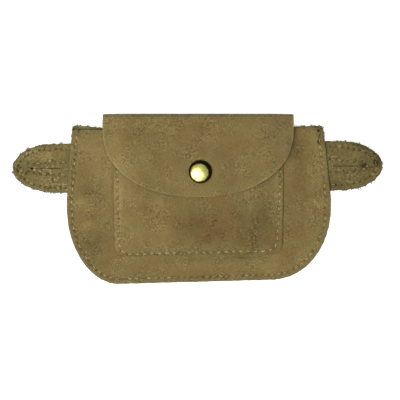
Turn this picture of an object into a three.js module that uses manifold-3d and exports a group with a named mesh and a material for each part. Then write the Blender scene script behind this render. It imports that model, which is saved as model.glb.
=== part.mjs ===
// Suede belt pouch lying on its back. Millimetres: +X to the right as its front is seen,
// +Y up the pouch towards the flap's fold, +Z out of its front, with the back panel on Z = 0.
import * as THREE from 'three';
import { mergeVertices } from 'three/addons/utils/BufferGeometryUtils.js';
import Module from 'manifold-3d';

const wasm = await Module();
wasm.setup();
const { smoothstep, lerp } = THREE.MathUtils;

// Hide thickness and the clearances between layers
const HIDE = 1.6;
const TAB_HIDE = 1.5;
const GAP = 0.3;
const LAYER_GAP = 0.45;

// Body: each side runs from the foot round to its widest point, then straight up to the mouth's corner
const MOUTH_Y = 47.9;
const MOUTH_CORNER = 2.5;
const BODY_SIDES = {
  left: {
    mouthX: -81.3, wideX: -84.8, wideY: 0.5, footX: -50.5, footY: -55.15,
    pull: { foot: 0.58, side: 0.54 },
  },
  right: {
    mouthX: 81.5, wideX: 86.3, wideY: 1.9, footX: 48.3, footY: -52.4,
    pull: { foot: 0.66, side: 0.52 },
  },
};

// Mouth edge of each panel: its height at the two ends, and how far it drops below their chord on the way
const MOUTHS = {
  back: {
    leftY: 47.9,
    rightY: 47.7,
    drops: [
      { across: 0, drop: 0 },
      { across: 0.11, drop: 2.3 },
      { across: 0.5, drop: 2.8 },
      { across: 0.89, drop: 0.8 },
      { across: 1, drop: 0 },
    ],
  },
  front: {
    leftY: 44.9,
    rightY: 47,
    drops: [
      { across: 0, drop: 0 },
      { across: 0.11, drop: 0.3 },
      { across: 0.5, drop: 1.1 },
      { across: 0.89, drop: 0.1 },
      { across: 1, drop: 0 },
    ],
  },
};

// Front panel: a flat sewn rim, then a smooth rise that makes the hollow, pulled flat at the mouth's ends
const SEAM_RIM = 5;
const FRONT_PUFF = 6;
const FRONT_REACH = 28;
const MOUTH_ENDS = { fromX: 57, toX: 70, fromY: 22, toY: 44, share: 0.8 };

// Patch pocket on the front, sewn along its sides and foot
const POCKET_SIDES = {
  left: { mouthX: -54.7, lowX: -53.6, footY: -36.8 },
  right: { mouthX: 55.6, lowX: 54.9, footY: -35.9 },
};
const POCKET_MOUTH_Y = 36;
const POCKET_CORNER = 8;
const POCKET_RIM = 4;
const POCKET_PUFF = 5.2;
const POCKET_REACH = 18;
const POCKET_EASE = 22;

// Flap: root inside the mouth, a boxy fold over the top, then a front part with a curved free edge
const FLAP_CENTRE_X = 0.4;
const FLAP_HALF = 61.7;
const FLAP_ROOT_Y = 33;
const FLAP_SHOULDER_Y = 46;
const FLAP_FOLD_Y = 55.15;
const FLAP_TIP_Y = 1.4;
const FLAP_CURVE = 2.2;
const FOLD_CURVE = 2.8;
const FLAP_TURN = THREE.MathUtils.degToRad(88);
const FLAP_EASE = { outside: -8, inside: 12 };

// Side tabs: two leaves each, with a slit that ends in a round stop hole
const TAB_ROOT = 9;
const TAB_LEAF_GAP = 0.3;
const TAB_FULLNESS = 0.5523;
const SLIT_WIDTH = 1;
const SLIT_HOLE = 1.5;
const TABS = {
  left: {
    tipX: -120, tipY: 20, topY: 35.9, lowY: 4.2, shoulderX: -92.7,
    slitX: -88.5, holeX: -107, holeY: 19.7,
  },
  right: {
    tipX: 120, tipY: 21.6, topY: 37.5, lowY: 5.7, shoulderX: 92.5,
    slitX: 88.5, holeX: 107.6, holeY: 21.6,
  },
};
const TAB_MARGIN = 5;
const TAB_RAMP = 8;
const TAB_FADE = 13;

// Press stud through the flap and the pocket
const SNAP = { x: 1.8, y: 17.5 };
const SNAP_LIFT = 3.1;
const SNAP_FLAT = 8.5;
const SNAP_FADE = 25;
const CAP_RADIUS = 7.5;
const CAP_RIM = 0.6;
const CAP_RISE = 2.6;
const POST_RADIUS = 2.2;
const HOLE_DEPTH = 60;
const SOCKET_RADIUS = 6.2;
const SOCKET_BORE = 3.2;
const SOCKET_HEIGHT = 1.8;
const SOCKET_PLATE = 0.4;
const STUD_RADIUS = 5.6;
const STUD_PLATE = 0.7;
const KNOB_RADIUS = 2.9;
const KNOB_HEIGHT = 1.3;
const RIVET_RADIUS = 4.8;
const RIVET_PLATE = 0.7;

// Fineness of the facets
const EDGE_STEPS = 40;
const MOUTH_STEPS = 10;
const FRONT_STEPS = { across: 30, up: 25 };
const POCKET_STEPS = { across: 22, up: 18 };
const FLAP_STEPS = { across: 24, front: 16, fold: 12, root: 2 };
const SNAP_SIDES = 24;
const DOME_STEPS = 6;
const MERGE = 1e-3;
const NUDGE = 1e-3;

// Share of the front's height over which its mouth's drop fades out, as a power
const MOUTH_FADE = 4;

// Finishes
const suede = new THREE.MeshStandardMaterial({ color: 0x7e6e46, roughness: 0.95, metalness: 0 });
const tabSuede = new THREE.MeshStandardMaterial({ color: 0x776844, roughness: 0.97, metalness: 0 });
const brass = new THREE.MeshStandardMaterial({ color: 0xb79c48, roughness: 0.3, metalness: 1 });

// Outline of the body

const footRun = new THREE.Vector2(
  BODY_SIDES.right.footX - BODY_SIDES.left.footX,
  BODY_SIDES.right.footY - BODY_SIDES.left.footY,
).normalize();

function sideX({ mouthX, wideX, wideY }, y) {
  return lerp(wideX, mouthX, (y - wideY) / (MOUTH_Y - wideY));
}

function bodyEdge(side, topY) {
  const { wideX, wideY, footX, footY, pull } = side;
  const outward = Math.sign(wideX);
  const lean = new THREE.Vector2(side.mouthX - wideX, MOUTH_Y - wideY).normalize();
  const along = pull.foot * (wideX - footX);
  const down = pull.side * (wideY - footY);
  const cornerY = topY - MOUTH_CORNER;
  const edge = new THREE.Path();
  edge.moveTo(footX, footY);
  edge.bezierCurveTo(
    footX + footRun.x * along,
    footY + footRun.y * along,
    wideX - lean.x * down,
    wideY - lean.y * down,
    wideX,
    wideY,
  );
  edge.lineTo(sideX(side, cornerY), cornerY);
  edge.quadraticCurveTo(sideX(side, topY), topY, sideX(side, topY) - outward * MOUTH_CORNER, topY);
  return edge;
}

function bodyEdges({ leftY, rightY }) {
  return [bodyEdge(BODY_SIDES.left, leftY), bodyEdge(BODY_SIDES.right, rightY)];
}

function mouthDrop(drops) {
  const curve = new THREE.SplineCurve(drops.map(({ across, drop }) => new THREE.Vector2(across, drop)));
  const points = curve.getPoints(MOUTH_STEPS);
  return (u) => {
    const next = Math.max(1, points.findIndex((point) => point.x >= u));
    const [a, b] = [points[next - 1], points[next]];
    return lerp(a.y, b.y, (u - a.x) / (b.x - a.x));
  };
}

// Heights of the layers' middle surfaces

function distanceToEdge(edge, x, y) {
  const place = new THREE.Vector3(x, y, 0);
  const nearest = new THREE.Vector3();
  const stretch = new THREE.Line3();
  let least = Infinity;
  for (let i = 1; i < edge.length; i += 1) {
    stretch.set(edge[i - 1], edge[i]);
    stretch.closestPointToPoint(place, true, nearest);
    least = Math.min(least, nearest.distanceTo(place));
  }
  return least;
}

const [sewnLeft, sewnRight] = bodyEdges(MOUTHS.front);
const seamLine = [
  ...sewnLeft.getSpacedPoints(EDGE_STEPS).reverse(),
  ...sewnRight.getSpacedPoints(EDGE_STEPS),
].map((point) => new THREE.Vector3(point.x, point.y, 0));

function tabLift(side, y, inward) {
  const { topY, lowY } = TABS[side];
  const past = Math.abs(y - (topY + lowY) / 2) - (topY - lowY) / 2;
  const along = 1 - smoothstep(past, TAB_MARGIN, TAB_MARGIN + TAB_RAMP);
  const across = 1 - smoothstep(inward, TAB_ROOT, TAB_ROOT + TAB_FADE);
  return (TAB_HIDE + GAP) * along * across;
}

function frontMiddle(x, y) {
  const inward = distanceToEdge(seamLine, x, Math.min(y, MOUTH_Y));
  const { fromX, toX, fromY, toY, share } = MOUTH_ENDS;
  const pulled = share * smoothstep(Math.abs(x), fromX, toX) * smoothstep(y, fromY, toY);
  const puff = FRONT_PUFF * (1 - pulled) * smoothstep(inward, SEAM_RIM, SEAM_RIM + FRONT_REACH);
  const lift = tabLift(x < 0 ? 'left' : 'right', y, inward);
  return HIDE + GAP + HIDE / 2 + Math.hypot(puff, lift);
}

function pocketInset(x, y, corner) {
  const { left, right } = POCKET_SIDES;
  const down = (POCKET_MOUTH_Y - y) / (POCKET_MOUTH_Y - left.footY);
  const over = (x - left.lowX) / (right.lowX - left.lowX);
  const side = Math.min(x - lerp(left.mouthX, left.lowX, down), lerp(right.mouthX, right.lowX, down) - x);
  const foot = y - lerp(left.footY, right.footY, over);
  if (side < corner && foot < corner) {
    return corner - Math.hypot(corner - side, corner - foot);
  }
  return Math.min(side, foot);
}

function pocketMiddle(x, y) {
  const inset = pocketInset(x, y, POCKET_EASE);
  const puff = POCKET_PUFF * smoothstep(inset, POCKET_RIM, POCKET_RIM + POCKET_REACH);
  return frontMiddle(x, y) + HIDE + LAYER_GAP + puff;
}

function flapMiddle(x, y) {
  const inset = pocketInset(x, y, POCKET_CORNER);
  const carried = POCKET_PUFF * smoothstep(inset, FLAP_EASE.outside, FLAP_EASE.inside);
  const reach = Math.hypot(x - SNAP.x, y - SNAP.y);
  const lift = SNAP_LIFT * (1 - smoothstep(reach, SNAP_FLAT, SNAP_FADE));
  return frontMiddle(x, y) + 2 * (HIDE + LAYER_GAP) + carried + lift;
}

// Walls of one hide's thickness, half of it to each side of a surface

function steps(count, from = 0, to = 1) {
  return Array.from({ length: count + 1 }, (_, i) => lerp(from, to, i / count));
}

function surfaceNormal(surface, u, v) {
  const across = surface(u + NUDGE, v).sub(surface(u - NUDGE, v));
  const along = surface(u, v + NUDGE).sub(surface(u, v - NUDGE));
  return across.cross(along).normalize();
}

function wall(surface, uValues, vValues, thickness) {
  const columns = uValues.length;
  const rows = vValues.length;
  const layer = columns * rows;
  const positions = new Float32Array(layer * 2 * 3);
  const triangles = [];
  vValues.forEach((v, row) => {
    uValues.forEach((u, column) => {
      const index = row * columns + column;
      const middle = surface(u, v);
      const half = surfaceNormal(surface, u, v).multiplyScalar(thickness / 2);
      middle.clone().add(half).toArray(positions, index * 3);
      middle.clone().sub(half).toArray(positions, (index + layer) * 3);
    });
  });
  const quad = (a, b, c, d) => triangles.push(a, b, c, a, c, d);
  for (let row = 0; row + 1 < rows; row += 1) {
    for (let column = 0; column + 1 < columns; column += 1) {
      const a = row * columns + column;
      const b = a + 1;
      const c = b + columns;
      const d = a + columns;
      quad(a, b, c, d);
      quad(a + layer, d + layer, c + layer, b + layer);
    }
  }
  const rim = [];
  for (let column = 0; column < columns - 1; column += 1) rim.push(column);
  for (let row = 0; row < rows - 1; row += 1) rim.push(row * columns + columns - 1);
  for (let column = columns - 1; column > 0; column -= 1) rim.push((rows - 1) * columns + column);
  for (let row = rows - 1; row > 0; row -= 1) rim.push(row * columns);
  rim.forEach((here, i) => {
    const next = rim[(i + 1) % rim.length];
    quad(here, here + layer, next + layer, next);
  });
  const geometry = new THREE.BufferGeometry();
  geometry.setAttribute('position', new THREE.BufferAttribute(positions, 3));
  geometry.setIndex(triangles);
  return geometry;
}

// Joining and cutting

function toSolid(geometry) {
  const bare = new THREE.BufferGeometry();
  bare.setAttribute('position', geometry.getAttribute('position'));
  bare.setIndex(geometry.getIndex());
  const merged = mergeVertices(bare, MERGE);
  return new wasm.Manifold(new wasm.Mesh({
    numProp: 3,
    vertProperties: new Float32Array(merged.getAttribute('position').array),
    triVerts: new Uint32Array(merged.getIndex().array),
  }));
}

function toGeometry(solid) {
  const { vertProperties, triVerts } = solid.getMesh();
  const geometry = new THREE.BufferGeometry();
  geometry.setAttribute('position', new THREE.BufferAttribute(vertProperties, 3));
  geometry.setIndex(new THREE.BufferAttribute(triVerts, 1));
  return geometry;
}

function postHole() {
  const radius = POST_RADIUS + GAP;
  const hole = new THREE.CylinderGeometry(radius, radius, HOLE_DEPTH, SNAP_SIDES);
  hole.rotateX(Math.PI / 2);
  hole.translate(SNAP.x, SNAP.y, 0);
  return toSolid(hole);
}

function withPostHole(geometry) {
  return toGeometry(toSolid(geometry).subtract(postHole()));
}

// Panels

function backPanel() {
  const [left, right] = bodyEdges(MOUTHS.back);
  const drop = mouthDrop(MOUTHS.back.drops);
  const corners = [left.getPoint(1), right.getPoint(1)];
  const mouth = steps(MOUTH_STEPS)
    .map((u) => corners[0].clone().lerp(corners[1], u).sub(new THREE.Vector2(0, drop(u))));
  const shape = new THREE.Shape([
    ...right.getSpacedPoints(EDGE_STEPS),
    ...mouth.reverse().slice(1, -1),
    ...left.getSpacedPoints(EDGE_STEPS).reverse(),
  ]);
  return new THREE.ExtrudeGeometry(shape, { depth: HIDE, bevelEnabled: false });
}

function panelBetween([leftEdge, rightEdge], height, drop = () => 0) {
  return (u, v) => {
    const along = THREE.MathUtils.clamp(v, 0, 1);
    const place = leftEdge.getPointAt(along).lerp(rightEdge.getPointAt(along), u);
    place.y -= drop(THREE.MathUtils.clamp(u, 0, 1)) * along ** MOUTH_FADE;
    return new THREE.Vector3(place.x, place.y, height(place.x, place.y));
  };
}

function frontPanel() {
  const surface = panelBetween(bodyEdges(MOUTHS.front), frontMiddle, mouthDrop(MOUTHS.front.drops));
  return wall(surface, steps(FRONT_STEPS.across), steps(FRONT_STEPS.up), HIDE);
}

function pocketEdge({ mouthX, lowX, footY }) {
  const outward = Math.sign(lowX);
  const edge = new THREE.Path();
  edge.moveTo(lowX - outward * POCKET_CORNER, footY);
  edge.quadraticCurveTo(lowX, footY, lowX, footY + POCKET_CORNER);
  edge.lineTo(mouthX, POCKET_MOUTH_Y);
  return edge;
}

function pocket() {
  const surface = panelBetween([POCKET_SIDES.left, POCKET_SIDES.right].map(pocketEdge), pocketMiddle);
  return withPostHole(wall(surface, steps(POCKET_STEPS.across), steps(POCKET_STEPS.up), HIDE));
}

// Flap: v from 0 to 1 up the front part, from 1 to 2 round the fold, from 2 to 3 down the root

function flapFront(across, v) {
  const turn = (1 - v) * FLAP_TURN;
  const half = FLAP_HALF * Math.cos(turn) ** (2 / FLAP_CURVE);
  const drop = (FLAP_SHOULDER_Y - FLAP_TIP_Y) * Math.sin(turn) ** (2 / FLAP_CURVE);
  const x = FLAP_CENTRE_X + across * half;
  const y = FLAP_SHOULDER_Y - drop;
  return new THREE.Vector3(x, y, flapMiddle(x, y));
}

function flapFold(across, v) {
  const x = FLAP_CENTRE_X + across * FLAP_HALF;
  const high = flapMiddle(x, FLAP_SHOULDER_Y);
  const low = HIDE + GAP + HIDE / 2;
  const turn = v * Math.PI;
  const out = Math.abs(Math.sin(turn)) ** (2 / FOLD_CURVE);
  const up = Math.sign(Math.cos(turn)) * Math.abs(Math.cos(turn)) ** (2 / FOLD_CURVE);
  const y = lerp(FLAP_SHOULDER_Y, FLAP_FOLD_Y - HIDE / 2, out);
  return new THREE.Vector3(x, y, (high + low) / 2 + (up * (high - low)) / 2);
}

function flapRoot(across, v) {
  const x = FLAP_CENTRE_X + across * FLAP_HALF;
  return new THREE.Vector3(x, lerp(FLAP_SHOULDER_Y, FLAP_ROOT_Y, v), HIDE + GAP + HIDE / 2);
}

function flapSurface(u, v) {
  const across = 2 * u - 1;
  if (v <= 1) return flapFront(across, Math.max(v, 0));
  if (v <= 2) return flapFold(across, v - 1);
  return flapRoot(across, v - 2);
}

function flap() {
  const rows = [
    ...steps(FLAP_STEPS.front),
    ...steps(FLAP_STEPS.fold, 1, 2).slice(1),
    ...steps(FLAP_STEPS.root, 2, 3).slice(1),
  ];
  return withPostHole(wall(flapSurface, steps(FLAP_STEPS.across), rows, HIDE));
}

// Side tabs

function slit({ slitX, holeX, holeY }) {
  const inward = Math.sign(slitX - holeX);
  const half = SLIT_WIDTH / 2;
  const opening = Math.asin(half / SLIT_HOLE);
  const facing = inward > 0 ? 0 : Math.PI;
  const cut = new THREE.Path();
  cut.moveTo(slitX, holeY - inward * half);
  cut.lineTo(slitX, holeY + inward * half);
  cut.absarc(holeX, holeY, SLIT_HOLE, facing + opening, facing - opening + 2 * Math.PI, false);
  cut.closePath();
  return cut;
}

function tabLeaf(side, rootInset) {
  const tab = TABS[side];
  const rootX = (y) => sideX(BODY_SIDES[side], y) - Math.sign(tab.tipX) * rootInset;
  const pull = TAB_FULLNESS * (tab.tipX - tab.shoulderX);
  const leaf = new THREE.Shape();
  leaf.moveTo(rootX(tab.lowY), tab.lowY);
  leaf.lineTo(tab.shoulderX, tab.lowY);
  leaf.bezierCurveTo(
    tab.shoulderX + pull,
    tab.lowY,
    tab.tipX,
    lerp(tab.tipY, tab.lowY, TAB_FULLNESS),
    tab.tipX,
    tab.tipY,
  );
  leaf.bezierCurveTo(
    tab.tipX,
    lerp(tab.tipY, tab.topY, TAB_FULLNESS),
    tab.shoulderX + pull,
    tab.topY,
    tab.shoulderX,
    tab.topY,
  );
  leaf.lineTo(rootX(tab.topY), tab.topY);
  leaf.closePath();
  leaf.holes.push(slit(tab));
  return leaf;
}

function tabFace(side) {
  const face = new THREE.ExtrudeGeometry(tabLeaf(side, TAB_ROOT), { depth: TAB_HIDE, bevelEnabled: false });
  return face.translate(0, 0, HIDE + GAP);
}

function tabBacking(side) {
  const thickness = HIDE + GAP - TAB_LEAF_GAP;
  return new THREE.ExtrudeGeometry(tabLeaf(side, -GAP), { depth: thickness, bevelEnabled: false });
}

// Press stud

function turned(profile) {
  const points = profile.map(([radius, height]) => new THREE.Vector2(radius, height));
  const body = new THREE.LatheGeometry(points, SNAP_SIDES);
  body.rotateX(Math.PI / 2);
  body.translate(SNAP.x, SNAP.y, 0);
  return toGeometry(toSolid(body));
}

function snapCap() {
  const outside = flapMiddle(SNAP.x, SNAP.y) + HIDE / 2 + GAP;
  const inside = outside - HIDE - 2 * GAP;
  const mouth = inside - SOCKET_HEIGHT;
  const dome = steps(DOME_STEPS, 0, Math.PI / 2).map((turn) => [
    CAP_RADIUS * Math.cos(turn),
    outside + CAP_RIM + CAP_RISE * Math.sin(turn),
  ]);
  return turned([
    [0, inside - SOCKET_PLATE],
    [SOCKET_BORE, inside - SOCKET_PLATE],
    [SOCKET_BORE, mouth],
    [SOCKET_RADIUS, mouth],
    [SOCKET_RADIUS, inside],
    [POST_RADIUS, inside],
    [POST_RADIUS, outside],
    [CAP_RADIUS, outside],
    ...dome,
  ]);
}

function snapStud() {
  const outside = pocketMiddle(SNAP.x, SNAP.y) + HIDE / 2 + GAP;
  const inside = outside - HIDE - 2 * GAP;
  return turned([
    [0, inside - RIVET_PLATE],
    [RIVET_RADIUS, inside - RIVET_PLATE],
    [RIVET_RADIUS, inside],
    [POST_RADIUS, inside],
    [POST_RADIUS, outside],
    [STUD_RADIUS, outside],
    [STUD_RADIUS, outside + STUD_PLATE],
    [KNOB_RADIUS, outside + STUD_PLATE],
    [KNOB_RADIUS, outside + STUD_PLATE + KNOB_HEIGHT],
    [0, outside + STUD_PLATE + KNOB_HEIGHT],
  ]);
}

// The pouch, piece by piece

const pouch = new THREE.Group();

function addPiece(name, geometry, material) {
  const piece = new THREE.Mesh(geometry, material);
  piece.name = name;
  pouch.add(piece);
}

addPiece('back_panel', backPanel(), suede);
addPiece('front_panel', frontPanel(), suede);
addPiece('pocket', pocket(), suede);
addPiece('flap', flap(), suede);
for (const side of ['left', 'right']) {
  addPiece(`tab_${side}_face`, tabFace(side), tabSuede);
  addPiece(`tab_${side}_backing`, tabBacking(side), tabSuede);
}
addPiece('snap_cap', snapCap(), brass);
addPiece('snap_stud', snapStud(), brass);

export default pouch;
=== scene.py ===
"""Suede belt pouch lying on its back, dressed for a studio picture.

Sizes are in millimetres, in the frame of the solids. Meshes are written in metres.
"""
import logging
import math
from collections.abc import Callable, Mapping, Sequence
from dataclasses import dataclass, field
from enum import Enum
from functools import cached_property, partial

import bpy
import numpy as np
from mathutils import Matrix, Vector
from mathutils.geometry import delaunay_2d_cdt


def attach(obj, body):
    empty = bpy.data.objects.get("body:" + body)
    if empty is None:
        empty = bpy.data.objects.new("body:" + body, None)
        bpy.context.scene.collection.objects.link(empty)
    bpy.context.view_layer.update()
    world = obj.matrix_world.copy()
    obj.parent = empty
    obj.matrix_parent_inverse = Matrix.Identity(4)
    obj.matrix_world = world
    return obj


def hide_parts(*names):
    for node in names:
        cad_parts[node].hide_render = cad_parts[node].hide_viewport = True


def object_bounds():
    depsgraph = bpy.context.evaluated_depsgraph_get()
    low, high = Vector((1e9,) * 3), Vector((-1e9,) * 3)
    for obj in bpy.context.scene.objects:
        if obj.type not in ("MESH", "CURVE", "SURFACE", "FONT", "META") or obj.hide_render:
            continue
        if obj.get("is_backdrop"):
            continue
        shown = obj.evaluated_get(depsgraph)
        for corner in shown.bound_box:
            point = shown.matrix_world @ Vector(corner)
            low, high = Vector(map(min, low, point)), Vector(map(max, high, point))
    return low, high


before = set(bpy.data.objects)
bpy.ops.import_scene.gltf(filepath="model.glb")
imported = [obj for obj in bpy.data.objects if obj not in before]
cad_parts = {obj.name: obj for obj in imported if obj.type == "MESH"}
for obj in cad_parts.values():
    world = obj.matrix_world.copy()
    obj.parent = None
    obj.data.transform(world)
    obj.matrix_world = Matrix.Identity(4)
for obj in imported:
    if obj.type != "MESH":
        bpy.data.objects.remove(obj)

LOG = logging.getLogger("pouch")
MM = 0.001
BODY = "root"
BATCH = 3000

Plane = np.ndarray
Space = np.ndarray
Reals = np.ndarray
Colour = tuple[float, float, float, float]
Span = tuple[float, float]
Stops = Sequence[tuple[float, Colour]]
Settings = Mapping[str, object]
Inputs = Mapping[str | int, object]
Waves = Sequence[tuple[float, float, int]]
Field = Callable[[Plane], Reals]
Pieces = list[bpy.types.Object]


class Side(Enum):
    """The two sides of the pouch, as its front is seen."""

    LEFT = -1
    RIGHT = 1

    @property
    def label(self) -> str:
        """The side's word in the names of pieces."""
        return self.name.lower()


class Face(Enum):
    """The two faces of a hide."""

    OUTER = 1
    INNER = -1


class Lie(Enum):
    """How a cut hide is held on the pouch."""

    LAID = "laid"
    FOLDED = "folded"


def tint(red: int, green: int, blue: int) -> Colour:
    """Turns a screen colour into a linear one.

    Args:
        red: Red, from 0 to 255.
        green: Green, from 0 to 255.
        blue: Blue, from 0 to 255.

    Returns:
        The linear colour, with full cover.
    """
    shares = [value / 255 for value in (red, green, blue)]
    linear = [share / 12.92 if share <= 0.04045 else ((share + 0.055) / 1.055) ** 2.4 for share in shares]
    return (linear[0], linear[1], linear[2], 1.0)


# Lines, distances and values in the flat


def smoothstep(value: Reals | float, low: float, high: float) -> Reals:
    """Eases values from 0 at low to 1 at high."""
    share = np.clip((np.asarray(value) - low) / (high - low), 0.0, 1.0)
    return share * share * (3.0 - 2.0 * share)


def bend(control: Sequence[tuple[float, float]], count: int = 48) -> Plane:
    """Draws a Bezier curve through the flat.

    Args:
        control: Control points, ends included.
        count: Number of steps.

    Returns:
        Points along the curve.
    """
    points = np.array(control, dtype=float)
    share = np.linspace(0.0, 1.0, count + 1)[:, None]
    last = len(points) - 1
    return sum(
        math.comb(last, i) * share**i * (1 - share) ** (last - i) * points[i] for i in range(last + 1)
    )


def resample(line: np.ndarray, step: float, closed: bool = False) -> np.ndarray:
    """Spaces points evenly along a line.

    Args:
        line: Points of the line.
        step: Wanted distance between points.
        closed: Whether the line runs back to its start.

    Returns:
        The evenly spaced points; a closed line doesn't repeat its start.
    """
    if closed:
        line = np.vstack([line, line[:1]])
    along = np.concatenate([[0.0], np.cumsum(np.linalg.norm(np.diff(line, axis=0), axis=1))])
    count = max(1, round(along[-1] / step))
    marks = np.linspace(0.0, along[-1], count + 1)
    if closed:
        marks = marks[:-1]
    return np.stack([np.interp(marks, along, line[:, k]) for k in range(line.shape[1])], axis=1)


def unit(rows: np.ndarray) -> np.ndarray:
    """Scales each row to length 1."""
    return rows / np.maximum(np.linalg.norm(rows, axis=-1, keepdims=True), 1e-12)


def ring(count: int) -> Plane:
    """Directions evenly round a circle."""
    turn = np.arange(count) * 2 * math.pi / count
    return np.column_stack([np.cos(turn), np.sin(turn)])


def leftward(line: Plane, closed: bool = False) -> Plane:
    """Finds the direction to the left of a line at each of its points.

    Args:
        line: Points of the line.
        closed: Whether the line runs back to its start.

    Returns:
        Unit directions.
    """
    ahead = np.roll(line, -1, axis=0) - np.roll(line, 1, axis=0)
    if not closed:
        ahead[0] = line[1] - line[0]
        ahead[-1] = line[-1] - line[-2]
    return unit(np.stack([-ahead[:, 1], ahead[:, 0]], axis=1))


def batches(points: Plane) -> list[np.ndarray]:
    """Numbers of the points, in batches that fit in memory."""
    return np.array_split(np.arange(len(points)), max(1, len(points) // BATCH))


def distance_to(points: Plane, line: Plane, closed: bool = False) -> Reals:
    """Measures how far points lie from a line.

    Args:
        points: Points to measure from.
        line: Points of the line.
        closed: Whether the line runs back to its start.

    Returns:
        Least distances.
    """
    if closed:
        line = np.vstack([line, line[:1]])
    start, run = line[:-1], np.diff(line, axis=0)
    square = np.maximum((run**2).sum(axis=1), 1e-12)
    least = np.empty(len(points))
    for rows in batches(points):
        away = points[rows, None] - start[None]
        share = np.clip((away * run).sum(axis=2) / square, 0.0, 1.0)
        least[rows] = np.sqrt(((away - share[..., None] * run) ** 2).sum(axis=2).min(axis=1))
    return least


def is_inside(points: Plane, loop: Plane) -> np.ndarray:
    """Tells which points lie inside a loop.

    Args:
        points: Points to test.
        loop: Points of the loop.

    Returns:
        True for each point inside.
    """
    start, end = loop, np.roll(loop, -1, axis=0)
    rise = np.where(end[:, 1] == start[:, 1], 1e-12, end[:, 1] - start[:, 1])
    inside = np.zeros(len(points), dtype=bool)
    for rows in batches(points):
        x, y = points[rows, 0, None], points[rows, 1, None]
        spans = (start[:, 1] > y) != (end[:, 1] > y)
        crossing = start[:, 0] + (y - start[:, 1]) / rise * (end[:, 0] - start[:, 0])
        inside[rows] = (spans & (x < crossing)).sum(axis=1) % 2 == 1
    return inside


def grain(points: Plane, size: float, seed: int) -> Reals:
    """Smooth random values over the flat.

    Args:
        points: Places in the flat.
        size: Size of a lump.
        seed: Which random field.

    Returns:
        Values from -1 to 1.
    """
    place = points / size
    cell = np.floor(place).astype(np.int64)
    part = place - cell
    ease = part**3 * (part * (part * 6 - 15) + 10)

    def corner(right: int, up: int) -> Reals:
        """Random value at one corner of each cell.

        Args:
            right: 1 for a right corner, 0 for a left one.
            up: 1 for an upper corner, 0 for a lower one.

        Returns:
            Values from -1 to 1.
        """
        key = (cell[:, 0] + right) * 374761393 + (cell[:, 1] + up) * 668265263 + seed * 144269504
        key = (key ^ (key >> 13)) * 1274126177
        return ((key ^ (key >> 16)) & 0xFFFF) / 32767.5 - 1.0

    low = corner(0, 0) * (1 - ease[:, 0]) + corner(1, 0) * ease[:, 0]
    high = corner(0, 1) * (1 - ease[:, 0]) + corner(1, 1) * ease[:, 0]
    return low * (1 - ease[:, 1]) + high * ease[:, 1]


def waves(plan: Plane, layers: Waves, seed: int = 0) -> Reals:
    """Adds up random fields, each given by its height, the size of a lump and its seed."""
    return sum(height * grain(plan, size, seed + own) for height, size, own in layers)


def steady(level: float) -> Field:
    """A value that is the same all over a pattern."""
    return lambda plan: np.full(len(plan), level)


def stepped(stations: Sequence[float], levels: Sequence[float]) -> Field:
    """A value that runs from level to level across the pouch."""
    return lambda plan: np.interp(plan[:, 0], stations, levels)


def raised(height: Field) -> Callable[[Plane], Space]:
    """A surface at a height over each place of its pattern."""
    return lambda plan: np.column_stack([plan, height(plan)])


# Meshes


def vertex_normals(points: Space, triangles: np.ndarray) -> Space:
    """Averages the faces' directions at each point.

    Args:
        points: Points of a mesh.
        triangles: Rows of three point numbers.

    Returns:
        Unit directions.
    """
    a, b, c = (points[triangles[:, k]] for k in range(3))
    facing = np.cross(b - a, c - a)
    total = np.zeros_like(points)
    for k in range(3):
        np.add.at(total, triangles[:, k], facing)
    return unit(total)


def make_piece(
    name: str, points: Space, triangles: np.ndarray, marks: Mapping[str, np.ndarray]
) -> bpy.types.Object:
    """Makes a smooth-shaded piece that rides on the pouch.

    Args:
        name: Name of the piece.
        points: Points in millimetres.
        triangles: Rows of three point numbers.
        marks: Values kept at the points, one number or one vector each.

    Returns:
        The new piece.
    """
    mesh = bpy.data.meshes.new(name)
    mesh.vertices.add(len(points))
    mesh.vertices.foreach_set("co", (points * MM).astype(np.float32).ravel())
    mesh.loops.add(triangles.size)
    mesh.loops.foreach_set("vertex_index", triangles.astype(np.int32).ravel())
    mesh.polygons.add(len(triangles))
    mesh.polygons.foreach_set("loop_start", np.arange(0, triangles.size, 3, dtype=np.int32))
    mesh.polygons.foreach_set("use_smooth", np.ones(len(triangles), dtype=bool))
    for label, values in marks.items():
        kind, key = ("FLOAT", "value") if values.ndim == 1 else ("FLOAT_VECTOR", "vector")
        mark = mesh.attributes.new(label, kind, "POINT")
        mark.data.foreach_set(key, values.astype(np.float32).ravel())
    mesh.update()
    mesh.validate()
    piece = bpy.data.objects.new(name, mesh)
    bpy.context.scene.collection.objects.link(piece)
    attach(piece, BODY)
    return piece


def ring_faces(steps: int, sides: int) -> np.ndarray:
    """Joins rings of points into a skin, closed by a pole at each end.

    Args:
        steps: Number of rings.
        sides: Points of a ring; the two poles follow the last ring.

    Returns:
        Rows of three point numbers.
    """
    step, side = np.meshgrid(np.arange(steps - 1), np.arange(sides), indexing="ij")
    a = (step * sides + side).ravel()
    b = (step * sides + (side + 1) % sides).ravel()
    here, top = np.arange(sides), (steps - 1) * sides
    after = (here + 1) % sides
    first, last = np.full(sides, steps * sides), np.full(sides, steps * sides + 1)
    return np.concatenate([
        np.stack([a, b, b + sides], 1),
        np.stack([a, b + sides, a + sides], 1),
        np.stack([first, after, here], 1),
        np.stack([last, here + top, after + top], 1),
    ])


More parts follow.
